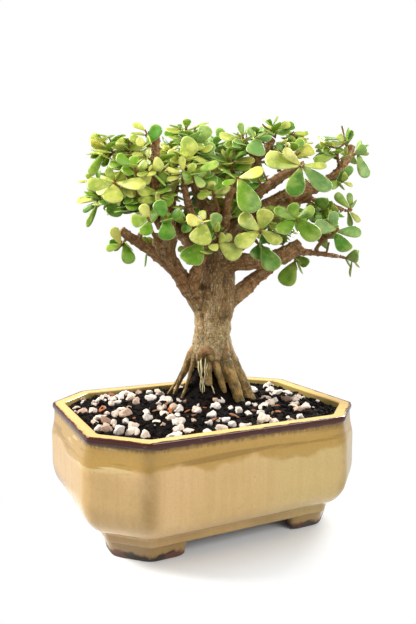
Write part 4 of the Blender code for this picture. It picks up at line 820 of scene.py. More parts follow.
    def pair(self, number: int, twig: np.ndarray, level: int, draw: random.Random) -> list[Leaf]:
        """The two opposite leaves at one level below a twig's tip, each pair square to the last."""
        point, tangent, _ = limb_place(twig, self.below_tip(twig, self.shown_first + level * self.pair_spacing))
        across = unit(np.cross(tangent, UP + 0.3 * TO_FRONT))
        other = np.cross(tangent, across)
        spin = draw.uniform(-self.pair_spin, self.pair_spin) + level * math.pi / 2 + number * self.spray_spin
        open_to = math.radians(self.turns_out[level] + draw.uniform(-self.pair_opening, self.pair_opening))
        length = self.length * self.pair_sizes[level] * draw.uniform(*self.size_spread)
        leaves = []
        for half_turn in (0.0, math.pi):
            radial = across * math.cos(spin + half_turn) + other * math.sin(spin + half_turn)
            along = tangent * math.cos(open_to) + radial * math.sin(open_to)
            face = tangent + self.pair_face_lift * UP
            leaves.append(Leaf(number, point, along, face, length, length * self.broadness))
        return leaves

    def grow(self, wood: dict[str, np.ndarray], twigs: list[np.ndarray]) -> list[Leaf]:
        """All leaves, in the order that gives the first ones the places that the solids have.

        Args:
            wood: The limbs' routes by name.
            twigs: The twigs' coarse routes.

        Returns:
            Every leaf that found room.
        """
        self.limbs, self.stems = StemField.of(list(wood.values())), StemField.of(twigs)
        for number, (_, _, _, shown) in enumerate(SPRAYS):
            for order, (far, width, turned) in enumerate(shown):
                self.place(self.shown(number, twigs[number], order, far, width, turned), self.careful)
        for level, enough in enumerate(self.shown_enough):
            for number, (_, _, _, shown) in enumerate(SPRAYS):
                if len(shown) <= enough:
                    for leaf in self.pair(number, twigs[number], level, self.draw(number, level)):
                        self.place(leaf, self.free)
        self.solid_count = len(self.placed)
        for level in (1, 2, 3):
            for number, (_, _, _, shown) in enumerate(SPRAYS):
                enough = self.shown_enough[level] if level < 3 else -1
                if len(shown) > enough:
                    for leaf in self.pair(number, twigs[number], level, self.draw(number, level)):
                        self.place(self.lifted(leaf), self.late, 0.60)
        self.sides = [self.shoot(number, twigs[number], order, self.draw(number, 5 + order))
                      for order in range(self.shoots) for number in range(len(SPRAYS))]
        self.sides += self.spur_routes(wood, twigs)
        leafy = set()
        for level, tries in ((2, self.late[:7]), (1, self.late[:7]), (0, self.late), (2, self.late[7:])):
            for index, (number, route) in enumerate(self.sides):
                for leaf in self.pair(number, route, level, random.Random(self.seed * 7000 + index * 10 + level)):
                    if self.place(self.lifted(leaf), tries, 0.95 - 0.60 * self.open_sky(leaf)):
                        leafy.add(index)
        self.sides = [side for index, side in enumerate(self.sides) if index in leafy]
        return [leaf for leaf, _, _ in self.placed]

    @staticmethod
    def open_sky(leaf: Leaf) -> float:
        """How freely a leaf lies under the sky, most at the top left."""
        return float(ease(leaf.base[2] - 0.35 * leaf.base[0], 125.0, 165.0))

    def lifted(self, leaf: Leaf) -> Leaf:
        """A later leaf: slimmer, of a size drawn from its place, and lying flatter to the light."""
        draw = random.Random(int(abs(leaf.base @ (913.0, 517.0, 331.0)) * 10))
        open_sky = self.open_sky(leaf)
        size, slim = draw.uniform(0.85, 1.1) + 0.42 * open_sky, draw.uniform(0.56, 0.74)
        along = leaf.along * (1.0, 1.0, 0.60 - 0.35 * open_sky)
        lean = (draw.uniform(0.30, 1.15) + 0.6 * (1.0 - open_sky)) * (1.0 - 1.7 * float(ease(leaf.base[1], 14.0, 34.0)))
        face = UP + lean * TO_FRONT + 0.5 * (1.0 - 0.6 * open_sky) * leaf.face
        return Leaf(leaf.spray, leaf.base, along, face, leaf.length * size, leaf.length * size * slim, leaf.tone)

    def shoot(self, number: int, twig: np.ndarray, order: int, draw: random.Random) -> tuple[int, np.ndarray]:
        """A short side shoot of a twig: a bow that leaves it sideways and turns up to the light."""
        point, tangent, radius = limb_place(twig, draw.uniform(0.25, 0.85))
        turn = draw.uniform(0.0, 2 * math.pi)
        across = unit(np.cross(tangent, UP + 0.3 * TO_FRONT))
        out = across * math.cos(turn) + np.cross(tangent, across) * math.sin(turn)
        reach = draw.uniform(*self.shoot_reach)
        tip = point + unit(out + 0.45 * tangent + 0.35 * UP) * reach
        return number, self.bow(point, out, tip, 0.8 * min(radius, 1.2))

    def bow(self, point: np.ndarray, out: np.ndarray, tip: np.ndarray, thick: float) -> np.ndarray:
        """A quadratic curve a(1-t)² + 2bt(1-t) + ct² from a stem to a tip, thinner towards the tip."""
        bend = point + out * np.linalg.norm(tip - point) * 0.5
        t = np.linspace(0.0, 1.0, 7)[:, None]
        line = point * (1 - t) ** 2 + 2 * bend * t * (1 - t) + tip * t ** 2
        return np.hstack((line, thick + (0.65 - thick) * t))

    def spur_routes(self, wood: dict[str, np.ndarray], twigs: list[np.ndarray]) -> list[tuple[int, np.ndarray]]:
        """Short spurs straight on the limbs, each counted to the nearest spray of its limb."""
        draw = random.Random(self.seed + 77)
        carriers = [name for name in wood if any(spray[0] == name for spray in SPRAYS)]
        routes = []
        for index in range(self.spurs):
            limb = carriers[index % len(carriers)]
            share = draw.uniform(0.25, 0.98)
            point, tangent, radius = limb_place(wood[limb], share)
            turn = draw.uniform(0.0, 2 * math.pi)
            across = unit(np.cross(tangent, UP + 0.3 * TO_FRONT))
            out = across * math.cos(turn) + np.cross(tangent, across) * math.sin(turn)
            tip = point + unit(out + 0.25 * UP) * (radius + draw.uniform(*self.spur_reach))
            own = [number for number, spray in enumerate(SPRAYS) if spray[0] == limb]
            nearest = min(own, key=lambda number: abs(SPRAYS[number][1] - share))
            routes.append((nearest, self.bow(point, out, tip, 0.9)))
        return routes

    def draw(self, number: int, level: int) -> random.Random:
        """The seeded draws of one pair."""
        return random.Random(self.seed * 1000 + number * 10 + level)


class Bench:
    """Sets out the nodes of one material, with its shader ready and the piece's own place at hand."""

    def __init__(self, name: str, roughness: float, **sockets: float) -> None:
        """Starts a material.

        Args:
            name: The material's name.
            roughness: The shader's roughness, all over.
            sockets: Other constant shader values, with _ for a space in a socket's name.
        """
        self.material = bpy.data.materials.new(name)
        self.material.use_nodes = True
        self.tree = self.material.node_tree
        self.shader = self.tree.nodes["Principled BSDF"]
        self.shader.inputs["Roughness"].default_value = roughness
        for socket, value in sockets.items():
            self.shader.inputs[socket.replace("_", " ")].default_value = value
        self.place = self.node("ShaderNodeTexCoord").outputs["Object"]

    def node(self, kind: str, inputs: dict | None = None, **settings: object) -> bpy.types.Node:
        """A node with its settings made and its inputs set or linked.

        Args:
            kind: The node's type.
            inputs: Values or other nodes' outputs, by socket name or number.
            settings: The node's own properties.

        Returns:
            The node.
        """
        made = self.tree.nodes.new(kind)
        for key, value in settings.items():
            setattr(made, key, value)
        for key, value in (inputs or {}).items():
            self.feed(made.inputs[key], value)
        return made

    def feed(self, socket: bpy.types.NodeSocket, value: object) -> None:
        """Links a socket to another's output, or sets its value."""
        if isinstance(value, bpy.types.NodeSocket):
            self.tree.links.new(value, socket)
        elif isinstance(value, tuple) and len(value) == 3 and socket.type == "RGBA":
            socket.default_value = (*value, 1.0)
        else:
            socket.default_value = value

    def value(self, name: str) -> bpy.types.NodeSocket:
        """A number kept on the mesh's points."""
        return self.node("ShaderNodeAttribute", attribute_name=name).outputs["Fac"]

    def vector(self, name: str) -> bpy.types.NodeSocket:
        """A vector kept on the mesh's points."""
        return self.node("ShaderNodeAttribute", attribute_name=name).outputs["Vector"]

    def colour(self, name: str) -> bpy.types.NodeSocket:
        """A colour kept on the mesh's points."""
        return self.node("ShaderNodeAttribute", attribute_name=name).outputs["Color"]

    def noise(self, scale: float, detail: float = 3.0, rough: float = 0.55, place: object = None,
              warp: float = 0.0) -> bpy.types.NodeSocket:
        """Cloudy noise in 0..1 around 0.5."""
        return self.node("ShaderNodeTexNoise", {"Vector": place or self.place, "Scale": scale, "Detail": detail,
                                                "Roughness": rough, "Distortion": warp}).outputs["Fac"]

    def cells(self, scale: float, output: str = "Distance", place: object = None) -> bpy.types.NodeSocket:
        """Cell noise: the distance to the nearest seed, or its drawn colour."""
        return self.node("ShaderNodeTexVoronoi", {"Vector": place or self.place, "Scale": scale}).outputs[output]

    def math(self, operation: str, first: object, second: object = 0.0, clamp: bool = False) -> bpy.types.NodeSocket:
        """One sum on two numbers."""
        return self.node("ShaderNodeMath", {0: first, 1: second}, operation=operation,
                         use_clamp=clamp).outputs[0]

    def span(self, value: object, low: float, high: float, to_low: float = 0.0,
             to_high: float = 1.0) -> bpy.types.NodeSocket:
        """A value eased from one range onto another and clipped."""
        return self.node("ShaderNodeMapRange", {"Value": value, "From Min": low, "From Max": high, "To Min": to_low,
                                                "To Max": to_high}, interpolation_type="SMOOTHSTEP").outputs[0]

    def mix(self, share: object, first: object, second: object, blend: str = "MIX") -> bpy.types.NodeSocket:
        """Two colours mixed by a share."""
        mixer = self.node("ShaderNodeMix", {0: share, 6: first, 7: second}, data_type="RGBA", blend_type=blend)
        return mixer.outputs[2]

    def axis(self, name: str, vector: object = None) -> bpy.types.NodeSocket:
        """One part of a place or vector: X, Y or Z."""
        return self.node("ShaderNodeSeparateXYZ", {0: vector or self.place}).outputs[name]

    def stretched(self, scale: Point, vector: object = None) -> bpy.types.NodeSocket:
        """A place multiplied along each axis."""
        return self.node("ShaderNodeMapping", {"Vector": vector or self.place, "Scale": scale}).outputs[0]

    def warped(self, vector: object, scale: float, amount: float) -> bpy.types.NodeSocket:
        """A place pushed about by noise, so that a pattern on it wanders."""
        push = self.node("ShaderNodeTexNoise", {"Vector": vector, "Scale": scale, "Detail": 2.0}).outputs["Color"]
        return self.node("ShaderNodeVectorMath", {0: push, 1: (amount, amount, amount), 2: vector},
                         operation="MULTIPLY_ADD").outputs[0]

    def bump(self, height: object, distance: float, strength: float = 1.0, under: object = None) -> bpy.types.NodeSocket:
        """A normal from a height, on top of another bump."""
        inputs = {"Height": height, "Distance": distance, "Strength": strength}
        if under:
            inputs["Normal"] = under
        return self.node("ShaderNodeBump", inputs).outputs[0]

    def done(self, colour: object, normal: object = None, **sockets: object) -> bpy.types.Material:
        """Links the shader's colour, normal and other varied sockets.

        Args:
            colour: The base colour.
            normal: The bumped normal.
            sockets: Other outputs, with _ for a space in the socket's name.

        Returns:
            The material.
        """
        self.feed(self.shader.inputs["Base Color"], colour)
        if normal:
            self.feed(self.shader.inputs["Normal"], normal)
        for socket, value in sockets.items():
            self.feed(self.shader.inputs[socket.replace("_", " ")], value)
        return self.material


@dataclass(frozen=True)
class StrawGlaze:
    """Glossy straw glaze that breaks to brown on the edges, pools olive in hollows and has pinholes, with painted
    highlight and painted dark reflection streaks in the olive neck and painted lilac highlights on the brown rim edge.
    """

    body: Colour = (0.600, 0.395, 0.160)
    warm: Colour = (0.660, 0.435, 0.200)
    olive: Colour = (0.430, 0.262, 0.062)
    # The pale colour of the painted highlight streaks in the neck.
    light: Colour = (0.760, 0.620, 0.320)
    # The glaze's dark olive, also the colour of the painted dark reflection streaks in the neck.
    dark_olive: Colour = (0.175, 0.098, 0.024)
    rim: Colour = (0.800, 0.540, 0.195)
    broken: Colour = (0.062, 0.013, 0.007)
    bare: Colour = (0.017, 0.010, 0.006)
    inside: Colour = (0.270, 0.205, 0.060)
    gold: Colour = (0.560, 0.415, 0.165)
    burnt_red: Colour = (0.110, 0.030, 0.018)

    def material(self) -> bpy.types.Material:
        """The glaze, led by the values edge, olive, inside, corner, bare and top on the pot's points."""
        bench = Bench("straw_glaze", 0.12, Specular_IOR_Level=0.50, Coat_Weight=0.15, Coat_Roughness=0.05)
        cloud = bench.noise(22.0, 4.0, 0.5)
        streak = bench.noise(1.0, 4.0, 0.6, bench.stretched((220.0, 220.0, 14.0)))
        fine = bench.noise(620.0, 3.0, 0.6)
        drift = bench.math("MULTIPLY", bench.math("SUBTRACT", bench.noise(14.0, 2.0, 0.5), 0.5), 0.16)
        drift = bench.math("ADD", bench.axis("X"), drift)
        colour = bench.mix(bench.span(cloud, 0.35, 0.68), self.body, self.warm)
        colour = bench.mix(bench.span(drift, -0.055, 0.065, 0.0, 0.85), colour, self.gold)
        shade = bench.span(streak, 0.35, 0.75, 0.0, 0.22)
        colour = bench.mix(shade, colour, self.olive)
        wave = bench.math("MULTIPLY", bench.math("SUBTRACT", bench.noise(30.0, 3.0, 0.5), 0.5), 1.3)
        pool = bench.math("ADD", bench.value("olive"), wave)
        colour = bench.mix(bench.span(pool, 0.38, 0.58, 0.0, 0.85), colour, self.olive)
        # Painted reflections in the olive neck: pale highlight streaks and dark reflection streaks, both drawn out
        # sideways.
        run = bench.noise(1.0, 3.0, 0.55, bench.stretched((9.0, 9.0, 130.0)), 0.6)
        painted_glint_streak = bench.math("MULTIPLY", bench.span(run, 0.57, 0.62), bench.span(pool, 0.30, 0.60))
        colour = bench.mix(bench.math("MULTIPLY", painted_glint_streak, 0.62), colour, self.light)
        painted_dark_streak = bench.math("MULTIPLY", bench.span(run, 0.44, 0.34), bench.span(pool, 0.30, 0.60))
        colour = bench.mix(bench.math("MULTIPLY", painted_dark_streak, 0.45), colour, self.dark_olive)
        low = bench.math("ADD", bench.value("low"), bench.math("MULTIPLY", bench.math("SUBTRACT", cloud, 0.5), 0.5))
        colour = bench.mix(bench.span(low, 0.15, 0.85, 0.0, 0.80), colour, self.dark_olive)
        corner = bench.math("MULTIPLY", bench.value("corner"), bench.span(bench.noise(34.0), 0.36, 0.60, 0.15, 0.62))
        colour = bench.mix(corner, colour, (0.290, 0.172, 0.042))
        colour = bench.mix(bench.value("inside"), colour, self.inside)
        colour = bench.mix(bench.value("top"), colour, self.rim)
        thread = bench.noise(1.0, 4.0, 0.65, bench.stretched((520.0, 520.0, 36.0)))
        fringe = bench.math("ADD", bench.value("edge"), bench.math("MULTIPLY", bench.math("SUBTRACT", thread, 0.5), 0.55))
        fringe = bench.math("SUBTRACT", fringe, bench.math("MULTIPLY", bench.value("top"), 0.22))
        colour = bench.mix(bench.span(fringe, 0.36, 0.66, 0.0, 0.92), colour, self.dark_olive)
        wander = bench.math("MULTIPLY", bench.math("SUBTRACT", bench.noise(90.0, 5.0, 0.65), 0.5), 0.55)
        edge = bench.math("ADD", bench.value("edge"), wander)
        colour = bench.mix(bench.span(edge, 0.64, 0.76), colour, self.broken)
        # Painted highlight: small lilac glints on the brown rim edge.
        painted_lilac_glint = bench.math("MULTIPLY", bench.span(edge, 0.70, 0.9), bench.span(bench.noise(140.0), 0.60, 0.72, 0.0, 0.22))
        colour = bench.mix(painted_lilac_glint, colour, (0.40, 0.28, 0.30))
        joint = bench.math("ADD", bench.axis("Z"), bench.math("MULTIPLY", bench.noise(60.0), 0.0012))
        joint = bench.span(bench.math("ABSOLUTE", bench.math("SUBTRACT", joint, 0.0110)), 0.00012, 0.00045, 1.0, 0.0)
        colour = bench.mix(bench.math("MULTIPLY", joint, 0.8), colour, self.bare)
        patchy = bench.math("MULTIPLY", bench.math("SUBTRACT", bench.noise(62.0, 5.0, 0.62), 0.5), 2.3)
        patchy = bench.math("MULTIPLY", patchy, bench.span(bench.value("bare"), 0.0, 0.12))
        bare = bench.math("ADD", bench.value("bare"), patchy)
        scorch = bench.mix(bench.span(bench.noise(45.0), 0.50, 0.62, 0.0, 0.85), self.bare, self.burnt_red)
        colour = bench.mix(bench.span(bare, 0.34, 0.66, 0.0, 0.96), colour, scorch)
        pits = bench.span(bench.cells(95.0), 0.0, 0.055, 1.0, 0.0)
        kept = bench.span(bench.axis("X", bench.cells(95.0, "Color")), 0.80, 0.84)
        pits = bench.math("MULTIPLY", pits, kept)
        colour = bench.mix(pits, colour, self.broken)
        grain = bench.span(fine, 0.2, 0.8, 0.94, 1.05)
        colour = bench.mix(1.0, colour, bench.node("ShaderNodeCombineColor", {0: grain, 1: grain, 2: grain}).outputs[0],
                           "MULTIPLY")
        sag = bench.bump(bench.noise(42.0, 3.0, 0.5), 0.0011, 0.55)
        normal = bench.bump(bench.math("SUBTRACT", fine, pits), 0.00012, 0.5, sag)
        rough = bench.span(bench.value("bare"), 0.3, 0.9, 0.12, 0.60)
        return bench.done(colour, normal, Roughness=rough)


@dataclass(frozen=True)
class DarkEarth:
    """Damp near-black soil with browner crumbs."""

    dark: Colour = (0.0040, 0.0028, 0.0024)
    brown: Colour = (0.026, 0.013, 0.0075)

    def material(self) -> bpy.types.Material:
        """The soil, crumbly at three sizes."""
        bench = Bench("dark_earth", 0.85, Specular_IOR_Level=0.10)
        crumb = bench.noise(420.0, 5.0, 0.7)
        colour = bench.mix(bench.span(bench.noise(120.0, 4.0), 0.54, 0.72, 0.0, 0.7), self.dark, self.brown)
        colour = bench.mix(bench.span(crumb, 0.45, 0.75, 0.0, 0.30), colour, self.brown)
        grit = bench.math("MULTIPLY", bench.span(bench.cells(420.0), 0.10, 0.22, 1.0, 0.0),
                          bench.span(bench.axis("X", bench.cells(420.0, "Color")), 0.86, 0.90))
        colour = bench.mix(grit, colour, Pumice.pit)
        rise = bench.bump(bench.cells(700.0), 0.0009, 0.9)
        return bench.done(colour, bench.bump(crumb, 0.0012, 0.9, rise))


@dataclass(frozen=True)
class Pumice:
    """Porous cream-white stone, browner in its pores and darker towards its foot."""

    pit: Colour = (0.34, 0.22, 0.155)

    def material(self) -> bpy.types.Material:
        """The stone, coloured by each stone's own drawn colour."""
        bench = Bench("pumice", 0.85, Specular_IOR_Level=0.3)
        grain = bench.noise(900.0, 5.0, 0.7)
        pores = bench.span(bench.cells(1100.0), 0.06, 0.32, 1.0, 0.0)
        colour = bench.mix(bench.span(bench.noise(330.0, 4.0), 0.52, 0.78, 0.0, 0.65), bench.colour("tint"), self.pit)
        colour = bench.mix(bench.math("MULTIPLY", pores, 0.55), colour, self.pit)
        # The stone turns to the soil's brown towards its foot.
        foot_darkening = bench.span(bench.value("foot"), 0.35, 1.0, 0.0, 0.85)
        colour = bench.mix(foot_darkening, colour, DarkEarth.brown)
        rise = bench.bump(pores, 0.0006, 0.7)
        return bench.done(colour, bench.bump(grain, 0.0008, 0.9, rise))


@dataclass(frozen=True)
class TanBark:
    """Grey-tan bark with fine upright streaks, redder on the limbs and olive on the roots; painted highlight pales its
    raised relief and lower trunk, and painted shade darkens its low relief, its hollows and the trunk's top under the
    crown.
    """

    trunk: Colour = (0.370, 0.226, 0.062)
    grey: Colour = (0.540, 0.385, 0.150)
    pale: Colour = (0.800, 0.660, 0.390)
    crease: Colour = (0.055, 0.027, 0.008)
    limb: Colour = (0.330, 0.138, 0.040)
    young: Colour = (0.580, 0.300, 0.105)
    root: Colour = (0.500, 0.300, 0.082)
    # The dark olive of the roots, also the painted shade in the bark's low relief.
    moss_and_shade: Colour = (0.120, 0.085, 0.020)
    straw: Colour = (0.860, 0.800, 0.470)
    cut: Colour = (0.560, 0.340, 0.150)

    def material(self) -> bpy.types.Material:
        """The bark, led by the values grain, girdle, girth, root, cut and straw on the wood's points, and by a value of
        painted shade for its hollows.
        """
        bench = Bench("bark", 0.60, Specular_IOR_Level=0.34)
        grain = bench.vector("grain")
        streak = bench.noise(0.95, 5.0, 0.65, grain)
        skin = bench.warped(bench.stretched((1.5, 1.5, 4.2), grain), 0.7, 1.3)
        gap = bench.node("ShaderNodeTexVoronoi", {"Vector": skin, "Scale": 0.62},
                         feature="DISTANCE_TO_EDGE").outputs["Distance"]
        plate = bench.axis("X", bench.cells(0.62, "Color", skin))
        ring = bench.noise(0.42, 4.0, 0.6, bench.vector("girdle"))
        fleck = bench.noise(2100.0, 4.0, 0.7)
        patch = bench.noise(95.0, 4.0, 0.6)
        slim = bench.span(bench.value("girth"), 4.0, 9.5, 1.0, 0.0)
        bark = bench.mix(bench.span(patch, 0.42, 0.62, 0.0, 0.8), self.trunk, self.grey)
        bark = bench.mix(bench.span(bench.noise(55.0, 3.0), 0.52, 0.66, 0.0, 0.45), bark, self.young)
        # Painted light from the carved relief: painted highlight on the raised bark, painted shade in its low parts.
        ridge = bench.value("ridge")
        bark = bench.mix(bench.span(ridge, 0.1, 1.0, 0.0, 0.60), bark, self.pale)
        bark = bench.mix(bench.span(ridge, -0.2, -1.2, 0.0, 0.55), bark, self.moss_and_shade)
        # Painted shade and light: the trunk darkens to the limb's brown towards its top, under the crown, and is
        # painted paler low down.
        bark = bench.mix(bench.span(bench.axis("Z"), 0.132, 0.170, 0.0, 0.62), bark, self.limb)
        bark = bench.mix(bench.span(bench.axis("Z"), 0.140, 0.112, 0.0, 0.30), bark, self.pale)
        limb = bench.mix(bench.span(patch, 0.42, 0.72), self.limb, self.young)
        limb = bench.mix(bench.span(streak, 0.50, 0.78, 0.0, 0.30), limb, self.grey)
        colour = bench.mix(slim, bark, limb)
        root = bench.mix(bench.span(patch, 0.40, 0.66), self.moss_and_shade, self.root)
        root = bench.mix(bench.span(ring, 0.52, 0.70, 0.0, 0.6), root, self.young)
        is_root = bench.value("root")
        colour = bench.mix(is_root, colour, root)
        calm = bench.math("MULTIPLY", bench.span(is_root, 0.0, 1.0, 1.0, 0.60), bench.span(slim, 0.0, 1.0, 1.0, 0.60))
        for share, tone in ((bench.span(plate, 0.55, 0.95, 0.0, 0.45), self.pale),
                            (bench.span(plate, 0.34, 0.08, 0.0, 0.45), self.limb),
                            (bench.span(streak, 0.32, 0.47, 0.66, 0.0), self.crease),
                            (bench.span(streak, 0.53, 0.66, 0.0, 0.50), self.pale),
                            (bench.span(ring, 0.60, 0.70, 0.0, 0.55), self.pale),
                            (bench.span(ring, 0.32, 0.42, 0.70, 0.0), self.crease),
                            (bench.span(gap, 0.01, 0.10, 0.50, 0.0), self.crease),
                            (bench.span(fleck, 0.54, 0.66, 0.0, 0.60), self.crease),
                            (bench.span(fleck, 0.30, 0.42, 0.35, 0.0), self.pale)):
            colour = bench.mix(bench.math("MULTIPLY", share, calm), colour, tone)
        colour = bench.mix(bench.math("MULTIPLY", bench.value("scar"), 0.90), colour, self.crease)
        # Painted shade: darker where stems crowd each other, in the gaps between the roots and in the carved hollows.
        colour = bench.mix(bench.value("hollow_shade"), colour, self.crease)
        colour = bench.mix(bench.value("straw"), colour, bench.mix(bench.span(patch, 0.4, 0.7), self.straw, self.root))
        colour = bench.mix(bench.value("cut"), colour, bench.mix(bench.span(fleck, 0.4, 0.6), self.cut, self.limb))
        rise = bench.bump(bench.math("MULTIPLY", bench.span(gap, 0.0, 0.30), calm), 0.0010, 0.8)
        rise = bench.bump(streak, 0.0007, 0.7, rise)
        rise = bench.bump(ring, 0.0009, 0.7, rise)
        normal = bench.bump(fleck, 0.0003, 0.8, rise)
        return bench.done(colour, normal, Roughness=bench.span(bench.math("MAXIMUM", is_root, bench.math("MULTIPLY", slim, 0.6)), 0.0, 1.0, 0.60,
                                                          0.30))


@dataclass(frozen=True)
class FleshyLeaf:
    """A soft-shining succulent leaf: its own green, a pale thin rim, faint rays and a flushed foot."""

    rim: Colour = (0.660, 0.700, 0.300)
    flush: Colour = (0.340, 0.090, 0.035)
    stem: Colour = (0.200, 0.125, 0.030)
    stem_red: Colour = (0.260, 0.085, 0.030)

    def material(self) -> bpy.types.Material:
        """The leaf and its twig, led by the values tint, blade, rim, under and stem."""
        bench = Bench("leaf_green", 0.40, Specular_IOR_Level=0.36, Subsurface_Weight=0.15, Subsurface_Scale=0.002)
        bench.shader.inputs["Subsurface Radius"].default_value = (0.5, 1.0, 0.15)
        tint = bench.colour("tint")
        deep = bench.mix(1.0, tint, (0.48, 0.62, 0.42), "MULTIPLY")
        pallor = bench.span(bench.node("ShaderNodeSeparateColor", {0: tint}).outputs[0], 0.10, 0.50, 0.20, 0.58)
        light = bench.mix(pallor, tint, (0.88, 0.86, 0.27))
        colour = bench.mix(bench.span(bench.noise(75.0, 3.0, 0.5), 0.45, 0.62, 0.0, 0.85), tint, light)
        colour = bench.mix(bench.span(bench.noise(120.0, 3.0, 0.5), 0.34, 0.54, 0.70, 0.0), colour, deep)
        blade = bench.vector("blade")
        ray = bench.noise(1.0, 4.0, 0.7, bench.stretched((2.2, 20.0, 1.0), blade))
        outer = bench.span(bench.value("rim"), 0.25, 0.8, 0.25, 1.0)
        colour = bench.mix(bench.math("MULTIPLY", bench.span(ray, 0.50, 0.70, 0.0, 0.55), outer), colour, light)
        colour = bench.mix(bench.span(ray, 0.30, 0.44, 0.25, 0.0), colour, deep)
        blotch = bench.span(bench.noise(330.0, 4.0, 0.6), 0.54, 0.66, 0.0, 0.48)
        colour = bench.mix(blotch, colour, light)
        dots = bench.span(bench.cells(2600.0), 0.10, 0.34, 0.30, 0.0)
        colour = bench.mix(dots, colour, light)
        colour = bench.mix(bench.span(bench.value("rim"), 0.91, 1.0, 0.0, 0.80), colour, self.rim)
        colour = bench.mix(bench.span(bench.value("under"), 0.4, 0.8, 0.0, 0.30), colour, light)
        foot = bench.span(bench.axis("X", blade), 0.02, 0.16, 0.55, 0.0)
        colour = bench.mix(foot, colour, self.flush)
        stem = bench.mix(bench.span(bench.noise(260.0, 4.0), 0.4, 0.65), self.stem, self.stem_red)
        colour = bench.mix(bench.value("stem"), colour, stem)
        rise = bench.bump(bench.cells(1500.0), 0.00012, 0.35)
        normal = bench.bump(bench.noise(240.0, 3.0, 0.5), 0.0006, 0.35, rise)
        return bench.done(colour, normal)


def show(surface: Surface | bpy.types.Mesh, name: str, node: str, material: bpy.types.Material,
         ) -> bpy.types.Object:
    """Puts a finished piece in the scene in the stead of a solid.

    Args:
        surface: The piece as a surface or a mesh, in the row's frame.
        name: The piece's name.
        node: The solid that it stands for.
        material: The finish itself.

    Returns:
        The piece.
    """
    mesh = surface.mesh(name) if isinstance(surface, Surface) else surface
    mesh.materials.clear()
    mesh.materials.append(material)
    piece = bpy.data.objects.new(name, mesh)
    bpy.context.scene.collection.objects.link(piece)
    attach(piece, "root")
    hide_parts(node)
    LOG.info("%s: %d faces", name, len(mesh.polygons))
    return piece


def drawn_mesh(thing: bpy.types.Object, name: str) -> bpy.types.Mesh:
    """The mesh that a thing shows after its modifiers; the thing itself is removed."""
    bpy.context.view_layer.update()
    mesh = bpy.data.meshes.new_from_object(thing.evaluated_get(bpy.context.evaluated_depsgraph_get()))
    mesh.name = name
    old = thing.data
    bpy.data.objects.remove(thing)
    bpy.data.meshes.remove(old)
    return mesh


def mesh_points(mesh: bpy.types.Mesh) -> np.ndarray:
    """A mesh's points as rows of x, y and z."""
    flat = np.empty(len(mesh.vertices) * 3, dtype=np.float32)
    mesh.vertices.foreach_get("co", flat)
    return flat.reshape(-1, 3).astype(float)


def mesh_normals(mesh: bpy.types.Mesh) -> np.ndarray:
    """A mesh's normals at its points."""
    flat = np.empty(len(mesh.vertices) * 3, dtype=np.float32)
    mesh.vertex_normals.foreach_get("vector", flat)
    return flat.reshape(-1, 3).astype(float)


def set_points(mesh: bpy.types.Mesh, points: np.ndarray) -> None:
    """Moves a mesh's points, none of them out of the solids' box."""
    low, high = np.array(CAD_BOX[0]), np.array(CAD_BOX[1])
    points = np.clip(points, low, high)
    mesh.vertices.foreach_set("co", np.ascontiguousarray(points, dtype=np.float32).ravel())
    mesh.update()


